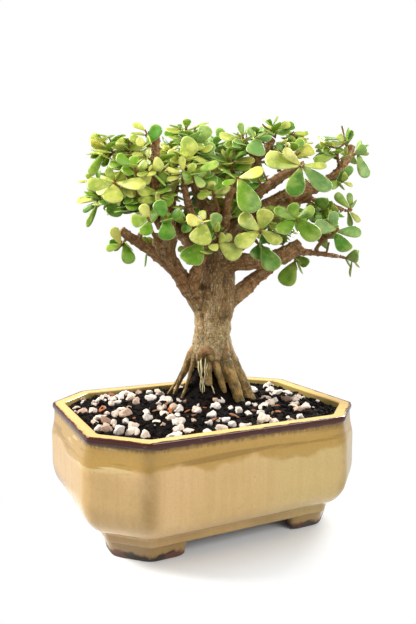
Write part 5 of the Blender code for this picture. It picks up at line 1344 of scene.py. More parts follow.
@dataclass
class PotShape:
    """The sizes of the cut-cornered pot and its outlines from above, in metres."""

    centre: Point
    length: float = 0.200
    width: float = 0.156
    height: float = 0.081
    cut: float = 0.030
    edge_round: float = 0.008
    lip: float = 0.0090
    floor_top: float = 0.0150
    foot_height: float = 0.0104
    foot_along: float = 0.025
    foot_across: float = 0.016
    foot_depth: float = 0.012
    foot_taper: float = 0.0030
    foot_sunk: float = 0.0014
    foot_inset: float = 0.0158
    band_inset: float = 0.0150
    drain_radius: float = 0.006
    drain_spacing: float = 0.090
    gap: float = 0.0003

    def cut_at(self, inset: float) -> float:
        """How much of each corner is cut off at an inset, so that the cut face moves in evenly."""
        return self.cut - (2.0 - math.sqrt(2.0)) * inset

    def profile(self) -> np.ndarray:
        """Insets and heights from the underside up, over the lip and down to the floor."""
        return np.array((
            (self.band_inset + 0.0005, self.foot_height), (self.band_inset - 0.0005, self.foot_height + 0.0008),
            (self.band_inset - 0.0011, 0.0162), (0.0110, 0.0180), (0.0050, 0.0222), (0.0004, 0.0300),
            (-0.0011, 0.0400), (-0.0011, 0.0590), (0.0010, 0.0715), (0.0015, 0.0758), (0.0003, 0.0788),
            (0.0008, self.height), (self.lip - 0.0008, self.height), (self.lip, self.height - 0.0010),
            (self.lip - 0.0010, 0.0560), (0.0105, 0.0340), (0.0220, self.floor_top)))

    def fine_profile(self, per_span: int) -> np.ndarray:
        """The profile as a monotone cubic that never overshoots.

        At each point the slope by arc length is the harmonic mean of its neighbours' slopes, or nought
        where they differ in sign, and each span is the Hermite cubic of its ends and their slopes.

        Args:
            per_span: Steps from one point to the next.

        Returns:
            Rows of inset and height.
        """
        points = self.profile()
        step = np.linalg.norm(np.diff(points, axis=0), axis=1)[:, None]
        slope = np.diff(points, axis=0) / step
        product = slope[:-1] * slope[1:]
        total = slope[:-1] + slope[1:]
        inner = np.where(product > 0, 2 * product / np.where(product > 0, total, 1.0), 0.0)
        slopes = np.vstack((slope[:1], inner, slope[-1:]))
        t = (np.arange(per_span) / per_span)[None, :, None]
        a, b, m, n, h = (v[:, None] for v in (points[:-1], points[1:], slopes[:-1], slopes[1:], step))
        rows = (a * (2 * t ** 3 - 3 * t ** 2 + 1) + m * h * (t ** 3 - 2 * t ** 2 + t) + b * (3 * t ** 2 - 2 * t ** 3)
                + n * h * (t ** 3 - t ** 2))
        return np.vstack((rows.reshape(-1, 2), points[-1:]))

    def ring(self, inset: float, side_steps: int = 10, corner_steps: int = 8, soft: float = 1.0) -> np.ndarray:
        """The octagon at one inset, with rounded corners.

        Each corner is the quadratic curve a(1-t)² + 2bt(1-t) + ct² of the corner b and the places a
        and c where the rounding meets its two sides, and the straight sides are evenly split.

        Args:
            inset: Distance in from the rim.
            side_steps: Steps along each straight side.
            corner_steps: Steps round each corner.
            soft: How much wider than at the rim each corner is rounded.

        Returns:
            Rows of x and y from the pot's middle, anticlockwise.
        """
        x, y, cut = self.length / 2 - inset, self.width / 2 - inset, self.cut_at(inset)
        corners = np.array(((x - cut, -y), (x, cut - y), (x, y - cut), (x - cut, y), (cut - x, y), (-x, y - cut),
                            (-x, cut - y), (cut - x, -y)))
        back = self.edge_round * soft * math.tan(math.radians(22.5))
        before = corners + unit(np.roll(corners, 1, axis=0) - corners) * back
        after = corners + unit(np.roll(corners, -1, axis=0) - corners) * back
        t = (np.arange(corner_steps) / corner_steps)[None, :, None]
        bend = before[:, None] * (1 - t) ** 2 + 2 * corners[:, None] * t * (1 - t) + after[:, None] * t ** 2
        s = (np.arange(side_steps) / side_steps)[None, :, None]
        side = after[:, None] * (1 - s) + np.roll(before, -1, axis=0)[:, None] * s
        return np.concatenate((bend, side), axis=1).reshape(-1, 2)

    def foot_outline(self, inset: float, shorten: float) -> np.ndarray:
        """One corner foot from above: along the long side, across the cut corner, along the short."""
        x, y, cut = self.length / 2 - inset, self.width / 2 - inset, self.cut_at(inset)
        along, across = x - cut - self.foot_along + shorten, y - cut - self.foot_across + shorten
        inner = self.foot_depth - shorten
        return np.array(((along, y), (along, y - inner), (x - cut, y - inner), (x - inner, y - cut),
                         (x - inner, across), (x, across), (x, y - cut), (x - cut, y)))


@dataclass
class GlazedPot:
    """The fired pot: lofted wall and floor, four corner feet and two drain holes, under one glaze."""

    shape: PotShape
    glaze: StrawGlaze = StrawGlaze()
    per_span: int = 5
    waver: float = 0.00035
    edge_wide: float = 0.0021

    def wall(self) -> Surface:
        """The wall and floor: the octagon's ring carried up the profile, its insets a little wavy."""
        profile = self.shape.fine_profile(self.per_span)
        rings = []
        for inset, height in profile:
            soft = 1.0 + 1.5 * float(ease(np.array(height), 0.0770, 0.0660) * ease(np.array(height), 0.0150, 0.0260))
            flat = self.shape.ring(inset, soft=soft if inset < 0.0081 or height < 0.03 else 1.0)
            ring = np.column_stack((flat, np.full(len(flat), height)))
            dent = self.waver * (0.5 + 0.5 * lattice_noise(ring, 0.028, 3)) * ease(np.full(len(flat), height), 0.012, 0.03)
            ring[:, :2] -= unit(ring[:, :2]) * dent[:, None]
            rings.append(ring)
        count = len(rings[0])
        hubs = np.array(((0.0, 0.0, profile[0, 1]), (0.0, 0.0, profile[-1, 1])))
        total = count * len(rings)
        triangles = np.vstack((fan_faces(0, count, total, True), fan_faces(total - count, count, total + 1, False)))
        return Surface(np.vstack(rings + [hubs]), [triangles, grid_faces(len(rings), count)])

    def foot(self, side_x: int, side_y: int) -> Surface:
        """One foot: its rounded outline carried from a bevelled sole up into the wall's band."""
        shape = self.shape
        low = shape.foot_outline(shape.band_inset + shape.foot_taper, shape.foot_taper)
        high = shape.foot_outline(shape.foot_inset, 0.0)
        top = shape.foot_height + shape.foot_sunk
        rings = []
        for height in (0.0, 0.0002, 0.0007, 0.0016, 0.003, 0.0045, 0.006, 0.0075, 0.009, 0.0104, top):
            share = height / top
            outline = low * (1 - share) + high * share
            shrink = 0.0010 * (1 - ease(np.array(height), 0.0, 0.0016)) ** 2
            middle = outline.mean(axis=0)
            outline = middle + (outline - middle) * (1 - shrink / 0.012)
            before = outline + (np.roll(outline, 1, axis=0) - outline) * 0.22
            after = outline + (np.roll(outline, -1, axis=0) - outline) * 0.22
            t = np.linspace(0, 1, 6)[None, :, None]
            bend = before[:, None] * (1 - t) ** 2 + 2 * outline[:, None] * t * (1 - t) + after[:, None] * t ** 2
            flat = bend.reshape(-1, 2) * (side_x, side_y)
            rings.append(np.column_stack((flat, np.full(len(flat), height))))
        if side_x * side_y > 0:
            rings = [ring[::-1] for ring in rings]
        count, total = len(rings[0]), len(rings) * len(rings[0])
        hubs = np.vstack((rings[0].mean(axis=0), rings[-1].mean(axis=0)))
        triangles = np.vstack((fan_faces(0, count, total, True), fan_faces(total - count, count, total + 1, False)))
        return Surface(np.vstack(rings + [hubs]), [triangles, grid_faces(len(rings), count)])

    def glaze_values(self, points: np.ndarray) -> dict[str, np.ndarray]:
        """Where the glaze breaks, pools and ends, from each point's place in the pot's own frame."""
        shape = self.shape
        x, y, z = np.abs(points[:, 0]), np.abs(points[:, 1]), points[:, 2]
        cut_face = (x + y - (shape.length / 2 + shape.width / 2 - shape.cut)) / math.sqrt(2.0)
        inset = -np.maximum(np.maximum(x - shape.length / 2, y - shape.width / 2), cut_face)
        outer = np.hypot(inset, z - 0.0791)
        inner = np.hypot(inset - shape.lip, z - shape.height)
        edge = np.maximum(np.clip(1.0 - outer / 0.0090, 0.0, 1.0), 0.60 * ease(inner, 0.0013, 0.0002))
        top = ease(z, 0.0800, 0.0808)
        inside = ease(inset, 0.0082, 0.0092) * ease(z, 0.0806, 0.0798) * ease(z, 0.0220, 0.0280)
        neck = ease(z, 0.0480, 0.0760) * (1 - inside)
        band = 0.36 * ease(z, 0.0240, 0.0176) * ease(z, 0.0150, 0.0172) + 0.58 * ease(z, 0.0174, 0.0150)
        band += 0.24 * ease(z, 0.0118, 0.0100)
        faces = np.stack((x - shape.length / 2, y - shape.width / 2, cut_face))
        best = np.sort(faces, axis=0)
        corner = ease(best[2] - best[1], 0.0070, 0.0) * (1 - top)
        sole = ease(z, 0.0100, 0.0000)
        below = ease(inset, 0.0180, 0.0200) * ease(z, 0.0120, 0.0106)
        return {"edge": edge, "top": top, "inside": inside, "olive": neck, "low": band,
                "corner": corner * ease(z, 0.016, 0.03), "bare": np.maximum(sole, 0.8 * below)}

    def build(self) -> list[bpy.types.Object]:
        """The wall with its drains cut, and the four feet."""
        material, middle = self.glaze.material(), np.array(self.shape.centre)
        body = bpy.data.objects.new("pot_wall", self.wall().mesh("pot_wall"))
        bpy.context.scene.collection.objects.link(body)
        drills = []
        for side in (-1, 1):
            drills.append(tube_surface(np.array([(side * self.shape.drain_spacing / 2 / MM, 0.0, level, 6.0)
                                                 for level in (2.0, 22.0)]), 40, TreeFrame((0.0, 0.0, 0.0), 0.0)))
        drill = bpy.data.objects.new("drains", Surface.gather(drills).mesh("drains"))
        bpy.context.scene.collection.objects.link(drill)
        cut = body.modifiers.new("drains", "BOOLEAN")
        cut.operation, cut.object, cut.solver = "DIFFERENCE", drill, "MANIFOLD"
        wall = drawn_mesh(body, "pot_wall")
        bpy.data.objects.remove(drill)
        feet = Surface.gather([self.foot(x, y) for x in (-1, 1) for y in (-1, 1)]).mesh("pot_feet")
        pieces = []
        for mesh, name in ((wall, "pot_wall"), (feet, "pot_feet")):
            points = mesh_points(mesh)
            write_values(mesh, self.glaze_values(points))
            set_points(mesh, points + middle)
            mesh.shade_smooth()
            mesh.set_sharp_from_angle(angle=math.radians(50))
            pieces.append(show(mesh, name, "pot", material))
        return pieces


@dataclass
class SoilBed:
    """The soil's domed fill, the pumice that lies on it, the soil crumbs and the bark chips."""

    shape: PotShape
    tree: TreeFrame
    foot: Point
    seed: int = 11
    edge_drop: float = 0.0042
    mound_height: float = 0.017
    mound_reach: float = 0.017
    heaps: tuple = ((0.0, 3.0, 13.0, 12.0), (-12.0, 3.0, 9.0, 13.0), (12.0, 6.0, 6.0, 13.0))
    stone_count: int = 96
    stone_size: tuple[float, float] = (0.0025, 0.0042)
    stone_apart: float = 0.92
    off_wall: float = 1.3
    off_root: float = 1.25
    probe_levels: tuple[float, ...] = (-4.0, 0.0, 4.0, 8.0)
    more_stones: int = 62
    small_size: tuple[float, float] = (0.0012, 0.0026)
    crumbs: int = 1500
    crumb_size: tuple[float, float] = (0.0006, 0.0019)
    clods: int = 260
    clod_size: tuple[float, float] = (0.0016, 0.0034)
    chips: int = 30

    def height(self, x: np.ndarray, y: np.ndarray) -> np.ndarray:
        """The soil's surface: low at the wall, domed to the trunk, with flat-topped heaps among the roots."""
        edge = np.maximum(np.abs(x) / (self.shape.length / 2), np.abs(y) / (self.shape.width / 2))
        dome = self.foot[2] - self.edge_drop * np.minimum(1.0, edge) ** 2
        away = np.hypot(x - self.foot[0], y - self.foot[1]) / self.mound_reach
        level = dome + self.mound_height * np.exp(-away ** 4)
        place = self.tree.from_part(np.stack((x, y, 0 * level), axis=-1) + np.array(self.shape.centre))
        for across, deep, rise, reach in self.heaps:
            away = np.hypot(place[..., 0] - across, place[..., 1] - deep) / reach
            level = level + rise * MM * np.exp(-away ** 4)
        return level

    def relief(self, x: np.ndarray, y: np.ndarray) -> np.ndarray:
        """Crumbly ups and downs of the surface: noise of 6 mm and 2 mm pitch."""
        flat = np.stack((x, y, np.zeros_like(x)), axis=-1)
        return 0.0009 * layered_noise(flat, 0.006, 21) + 0.0005 * layered_noise(flat, 0.002, 27, 2)

    def fill(self) -> Surface:
        """The fill: rings up the pot's inner wall, then rings that close in on the trunk's foot."""
        shape = self.shape
        inner = shape.profile()[-4:][::-1]
        rings = []
        for inset, height in inner[:-1]:
            flat = shape.ring(inset + shape.gap, 14, 6)
            rings.append(np.column_stack((flat, np.full(len(flat), max(height, shape.floor_top + shape.gap)))))
        brim = shape.ring(shape.lip + shape.gap, 14, 6)
        middle = np.array(self.foot[:2])
        for share in np.linspace(1.0, 0.015, 64):
            flat = brim * share + middle * (1 - share)
            level = self.height(flat[:, 0], flat[:, 1]) + self.relief(flat[:, 0], flat[:, 1]) * min(1.0, share * 4)
            rings.append(np.column_stack((flat, level)))
        count, total = len(rings[0]), len(rings) * len(rings[0])
        hubs = np.array(((0.0, 0.0, rings[0][0, 2]), (*middle, float(self.height(*middle)))))
        triangles = np.vstack((fan_faces(0, count, total, True), fan_faces(total - count, count, total + 1, False)))
        return Surface(np.vstack(rings + [hubs]), [triangles, grid_faces(len(rings), count)])

    def clear_of_roots(self, x: float, y: float, roots: StemField) -> float:
        """Least distance in metres from a place on the soil to any root's skin, at several heights."""
        place = self.tree.from_part(np.array((x, y, self.foot[2])) + np.array(self.shape.centre))
        probes = np.array([(place[0], place[1], level) for level in self.probe_levels])
        return roots.gap(probes, np.zeros(len(probes))) * MM

    def places(self, count: int, sizes: tuple[float, float], draw: random.Random, roots: StemField,
               taken: list[tuple], tries: int, apart: float, off_root: float) -> list[tuple]:
        """Seeded places and sizes of stones, clear of the wall, the roots and each other."""
        shape = self.shape
        cut = shape.cut_at(shape.lip)
        lying = list(taken)
        for _ in range(tries):
            if len(lying) - len(taken) == count:
                break
            size = draw.uniform(*sizes)
            x = draw.uniform(-0.5, 0.5) * shape.length
            y = draw.uniform(-0.5, 0.5) * shape.width
            reach_x = shape.length / 2 - shape.lip - size * self.off_wall
            reach_y = shape.width / 2 - shape.lip - size * self.off_wall
            if abs(x) > reach_x or abs(y) > reach_y or abs(x) + abs(y) > reach_x + reach_y - cut:
                continue
            if any(math.hypot(x - a, y - b) < (size + other) * apart for a, b, other in lying):
                continue
            if self.clear_of_roots(x, y, roots) < size * off_root + 2 * shape.gap:
                continue
            lying.append((x, y, size))
        return lying[len(taken):]

    def lumps(self, places: list[tuple], seed: int, level: int, flat: tuple[float, float], lift: float,
              rough: float, long: tuple[float, float] = (0.85, 1.3), cuts: int = 0) -> tuple[Surface, np.ndarray]:
        """Many small stones: a ball of triangles, knobbled by noise, flattened, turned and laid.

        Where a stone is cut, each point is drawn in to the nearest of its drawn planes: its distance
        is the least of 1 and d / (n · p) over the planes of normal n and distance d.

        Args:
            places: Rows of x, y and size.
            seed: Base of the seeded draws.
            level: Fineness of the ball.
            flat: Least and most height over width.
            lift: How far each middle lies above the soil, as a share of its size.
            rough: Depth of the knobbles, as a share of the size.
            long: Least and most stretch along and across.
            cuts: Flat facets that each stone is cut by.

        Returns:
            The stones as one surface, and the number of its stone for each point.
        """
        ball = bpy.data.meshes.new("ball")
        import bmesh
        bm = bmesh.new()
        bmesh.ops.create_icosphere(bm, subdivisions=level, radius=1.0)
        bm.to_mesh(ball)
        bm.free()
        points = mesh_points(ball)
        corners = np.array([face.vertices[:] for face in ball.polygons])
        bpy.data.meshes.remove(ball)
        rng = np.random.default_rng(seed)
        lying = np.array(places)
        count = len(lying)
        offset = np.arange(count)[:, None, None] * 17.3
        knob = 1.0 + rough * lattice_noise(points[None] + offset, 0.9, seed) \
            + rough * 0.5 * lattice_noise(points[None] * 1.9 + offset, 0.9, seed + 5)
        if cuts:
            normals = unit(rng.normal(size=(count, cuts, 3)))
            facing = np.einsum("kij,nj->kni", normals, points)
            reach = rng.uniform(0.42, 0.84, (count, 1, cuts)) / np.maximum(facing, 0.05)
            knob = np.minimum(1.0, reach.min(axis=-1)) * (1.0 + 0.75 * (knob - 1.0)) * 1.22
        shape = points[None] * knob[..., None]
        shape = shape * np.stack((rng.uniform(*long, count), rng.uniform(long[0], 1.0, count),
                                  rng.uniform(*flat, count)), axis=-1)[:, None]
        tilt, turn = rng.uniform(-0.5, 0.5, count)[:, None], rng.uniform(0, 2 * math.pi, count)[:, None]
        x, y, z = shape[..., 0], shape[..., 1], shape[..., 2]
        x, z = x * np.cos(tilt) - z * np.sin(tilt), x * np.sin(tilt) + z * np.cos(tilt)
        x, y = x * np.cos(turn) - y * np.sin(turn), x * np.sin(turn) + y * np.cos(turn)
        size = lying[:, 2:3]
        ground = self.height(lying[:, 0], lying[:, 1]) + self.relief(lying[:, 0], lying[:, 1]) * 0.6
        place = np.stack((x * size + lying[:, :1], y * size + lying[:, 1:2],
                          z * size + (ground + lying[:, 2] * lift)[:, None]), axis=-1)
        faces = corners[None] + (np.arange(count) * len(points))[:, None, None]
        foot = np.clip(0.5 - z * 0.9, 0.0, 1.0)
        surface = Surface(place.reshape(-1, 3), [faces.reshape(-1, 3)], {"foot": foot.ravel()})
        return surface, np.repeat(np.arange(count), len(points))

    def build(self, roots: StemField) -> list[bpy.types.Object]:
        """The fill, the crumbs, the stones and the chips, laid in that order."""
        middle = np.array(self.shape.centre)
        draw = random.Random(self.seed)
        first = self.places(self.stone_count, self.stone_size, draw, roots, [], 9000, self.stone_apart, self.off_root)
        more = self.places(self.more_stones, self.small_size, random.Random(self.seed + 3), roots, first, 9000, 0.90,
                           0.35)
        chips = self.places(self.chips, (0.0016, 0.0027), random.Random(self.seed + 5), roots, [], 400, 1.6, 1.0)
        crumbs = self.places(self.crumbs, self.crumb_size, random.Random(self.seed + 7), roots, [], 6000, 0.55, 0.1)
        clods = self.places(self.clods, self.clod_size, random.Random(self.seed + 9), roots, [], 4000, 0.75, -0.4)
        rng = np.random.default_rng(self.seed)
        first = [(x, y, size * share) for (x, y, size), share in zip(first, rng.uniform(0.85, 1.15, len(first)))]
        stones, owner = self.lumps(first + more, self.seed + 1, 3, (0.72, 1.0), 0.34, 0.42, cuts=9)
        tones = np.array(((0.86, 0.77, 0.68), (0.82, 0.67, 0.55), (0.64, 0.45, 0.33), (0.34, 0.22, 0.15)))
        tint = tones[rng.choice(4, len(first + more), p=(0.48, 0.32, 0.13, 0.07))] * rng.uniform(
            0.88, 1.06, (len(first + more), 1))
        stones.values["tint"] = np.column_stack((np.clip(tint, 0, 0.92)[owner], np.ones(len(owner))))
        chip, chip_owner = self.lumps(chips, self.seed + 9, 2, (0.22, 0.34), 0.5, 0.22, (0.7, 2.1))
        brown = np.array(((0.42, 0.12, 0.035), (0.26, 0.10, 0.04), (0.16, 0.07, 0.035)))
        chip.values["tint"] = np.column_stack((brown[rng.choice(3, len(chips), p=(0.45, 0.3, 0.25))][chip_owner],
                                               np.ones(len(chip_owner))))
        chip.values["foot"] = chip.values["foot"] * 0.5
        crumb, _ = self.lumps(crumbs + clods, self.seed + 13, 1, (0.6, 1.0), 0.10, 0.45)
        earth, pumice = DarkEarth().material(), Pumice().material()
        pieces = []
        for name, surface, material in (("soil_fill", self.fill(), earth), ("soil_crumbs", crumb, earth),
                                        ("pumice_stones", stones, pumice), ("bark_chips", chip, pumice)):
            surface.points = surface.points + middle
            piece = show(surface, name, "soil", material)
            if name != "soil_fill":
                piece.data.set_sharp_from_angle(angle=math.radians(24))
            pieces.append(piece)
        return pieces


@dataclass
class Wood:
    """Trunk, limbs, cut stubs and roots, grown together under one bark."""

    tree: TreeFrame
    voxel: float = 0.00085
    least_radius: float = 0.75
    step: int = 6
    cut_ends: tuple[str, ...] = ("left_cut", "left_cut_stub", "left_limb", "stump_limb", "right_mid", "red_branch")
    straw_roots: tuple[str, ...] = ("aerial_root",)
    as_hairs: tuple[str, ...] = ("pale_front", "pale_inner", "pale_right")

    def routes(self) -> dict[str, np.ndarray]:
        """Every stem's fine route by name: trunk, limbs, roots and the aerial root."""
        named = {"trunk": TRUNK, **LIMBS, **ROOTS, "aerial_root": AERIAL_ROOT}
        return {name: smooth_route(points, self.step) for name, points in named.items() if name not in self.as_hairs}

    def grown(self, routes: dict[str, np.ndarray]) -> bpy.types.Mesh:
        """All stems as tubes, melted into one skin and eased."""
        tubes = []
        for route in routes.values():
            thick = route.copy()
            thick[:, 3] = np.maximum(thick[:, 3], self.least_radius)
            tubes.append(tube_surface(thick, 20, self.tree))
        thing = bpy.data.objects.new("trunk_skin", Surface.gather(tubes).mesh("trunk_skin"))
        bpy.context.scene.collection.objects.link(thing)
        melt = thing.modifiers.new("melt", "REMESH")
        melt.mode, melt.voxel_size = "VOXEL", self.voxel
        soften = thing.modifiers.new("soften", "SMOOTH")
        soften.factor, soften.iterations = 0.5, 5
        return drawn_mesh(thing, "trunk_skin")

    def nearest(self, points: np.ndarray, routes: dict[str, np.ndarray]) -> dict[str, np.ndarray]:
        """For each point the stem whose skin is nearest, with the place along and round it.

        Args:
            points: Places in the tree's frame, in millimetres.
            routes: The fine routes.

        Returns:
            Arrays by name: route (its number), along, radius, turn (an angle), over (height over the
            skin), below (distance left to the tip), second (how much farther the next stem's skin is).
        """
        samples, radii, owners, alongs, lefts, frames = [], [], [], [], [], []
        for number, route in enumerate(routes.values()):
            run = np.concatenate(([0.0], np.cumsum(np.linalg.norm(np.diff(route[:, :3], axis=0), axis=1))))
            samples.append(route[:, :3])
            radii.append(route[:, 3])
            owners.append(np.full(len(route), number))
            alongs.append(run)
            lefts.append(run[-1] - run)
            frames.append(np.stack(route_frames(route), axis=1))
        samples, radii, owners = np.concatenate(samples), np.concatenate(radii), np.concatenate(owners)
        alongs, lefts, frames = np.concatenate(alongs), np.concatenate(lefts), np.concatenate(frames)
        found = {name: [] for name in ("route", "along", "radius", "turn", "over", "below", "second")}
        for chunk in np.array_split(points, max(1, len(points) // 4000)):
            away = np.linalg.norm(chunk[:, None] - samples[None], axis=-1) - radii[None]
            best = away.argmin(axis=1)
            row = np.arange(len(chunk))
            others = np.where(owners[None] == owners[best][:, None], 1e9, away)
            offset = chunk - samples[best]
            heading, side, lift = (frames[best, axis] for axis in range(3))
            drift = (offset * heading).sum(-1)
            for name, value in (("route", owners[best]), ("along", alongs[best] + drift), ("radius", radii[best]),
                                ("turn", np.arctan2((offset * lift).sum(-1), (offset * side).sum(-1))),
                                ("over", away[row, best]), ("below", lefts[best] - drift),
                                ("second", others.min(axis=1) - away[row, best])):
                found[name].append(value)
        return {name: np.concatenate(value) for name, value in found.items()}

    def carve(self, places: np.ndarray, near: dict[str, np.ndarray],
              is_root: np.ndarray) -> tuple[np.ndarray, np.ndarray]:
        """The bark's relief in millimetres.

        Lumps are layered noise of 9 mm and 3 mm pitch. Flutes are a wave round the trunk, drawn out
        along it. Scars are narrow rings every few millimetres along the limbs, stronger on slim ones.

        Args:
            places: Points in the tree's frame, in millimetres.
            near: What nearest found.
            is_root: One where the nearest stem is a root.

        Returns:
            Height over the skin for each point, and how far it lies in the crease beside a scar.
        """
        thick = ease(near["radius"], 1.2, 9.0)
        lumps = layered_noise(places, 9.0, 31) * (0.25 + 0.60 * thick) + layered_noise(places, 3.4, 37) * (0.20 + 0.16 * thick)
        wind = near["turn"] + 0.012 * near["along"]
        flutes = (0.42 * np.sin(5 * wind + 1.7 * np.sin(0.05 * near["along"])) + 0.22 * np.sin(9 * wind + 2.0)) * thick
        spacing = 4.6 + 0.55 * near["radius"]
        wander = layered_noise(places, 8.0, 41) * 2.0
        phase = (near["along"] + wander) / spacing + near["route"] * 0.37
        strength = 0.55 + 0.45 * lattice_noise(places, 11.0, 43)
        ring = np.exp(-((phase - np.round(phase)) / 0.11) ** 2) * strength
        scars = ring * (0.95 * ease(near["radius"], 9.0, 4.5) * ease(near["radius"], 1.4, 3.0) + 0.12) * (1 - is_root)
        relief = (lumps + flutes * (1 - 0.6 * is_root) + scars) * np.where(near["radius"] < 1.4, 0.35, 1.0)
        side = np.exp(-((phase - np.round(phase) - 0.14) / 0.065) ** 2) * (0.3 + 0.7 * strength)
        return relief, side * (1 - is_root) * ease(near["radius"], 9.5, 6.0)

    def build(self) -> list[bpy.types.Object]:
        """The grown skin, carved, with what its bark needs kept on its points."""
        routes = self.routes()
        names = list(routes)
        mesh = self.grown(routes)
        points, normals = mesh_points(mesh), mesh_normals(mesh)
        places = self.tree.from_part(points)
        near = self.nearest(places, routes)
        owner = near["route"].astype(int)
        is_root = np.isin(owner, [names.index(name) for name in ROOTS if name in routes]).astype(float)
        root = is_root * ease(places[:, 2], 44.0, 32.0)
        relief, scar = self.carve(places, near, is_root)
        set_points(mesh, points + normals * (relief * MM)[:, None])
        cut = np.isin(owner, [names.index(name) for name in self.cut_ends]) * ease(near["below"], 0.35, 0.05)
        straw = np.isin(owner, [names.index(name) for name in self.straw_roots]).astype(float)
        # Painted shade, kept for the bark: darker where two stems crowd each other, in the gaps between the roots and
        # where the carving sinks in.
        hollow_shade = ease(near["second"], 2.2, 0.2) * ease(near["over"], 0.1, 0.9) * 0.30
        hollow_shade = np.maximum(hollow_shade, 0.92 * is_root * ease(near["second"], 1.7, 0.1) * ease(places[:, 2], 38.0, 30.0))
        hollow_shade = np.maximum(hollow_shade, ease(relief, -0.35, -1.0) * 0.5)
        across = np.column_stack((np.cos(near["turn"]), np.sin(near["turn"]))) * near["radius"][:, None]
        shift = owner * 31.7
        write_values(mesh, {
            "grain": np.column_stack((across + shift[:, None], near["along"] * 0.16)),
            "girdle": np.column_stack((across * 0.22 + shift[:, None], near["along"] * 1.6)),
            "girth": near["radius"], "root": root, "cut": cut, "straw": straw, "hollow_shade": hollow_shade, "ridge": relief,
            "scar": scar})
        mesh.shade_smooth()
        bark = TanBark().material()
        return [show(mesh, "trunk_and_roots", "trunk", bark),
                show(self.hairs(), "straw_roots", "trunk", bark)]

    def hairs(self) -> Surface:
        """The thin pale roots that hang from the knot into the soil, each a fine tapering tube."""
        tubes = []
        for points in HAIR_ROOTS:
            route = smooth_route(points, 6)
            for axis, seed in ((0, 3), (1, 5)):
                route[:, axis] += 0.8 * lattice_noise(route[:, :3], 3.6, seed + len(tubes)) \
                    * ease(route[:, 2], route[0, 2], route[0, 2] - 6)
            tube = tube_surface(route, 10, self.tree, True)
            count = len(tube.points)
            near_soil = np.ones(count)
            tube.values = {"grain": tube.points / MM * 0.8, "girdle": tube.points / MM * 0.5, "girth": near_soil,
                           "root": near_soil, "cut": 0 * near_soil, "straw": near_soil, "hollow_shade": 0 * near_soil,
                           "ridge": 0 * near_soil, "scar": 0 * near_soil}
            tubes.append(tube)
        return Surface.gather(tubes)


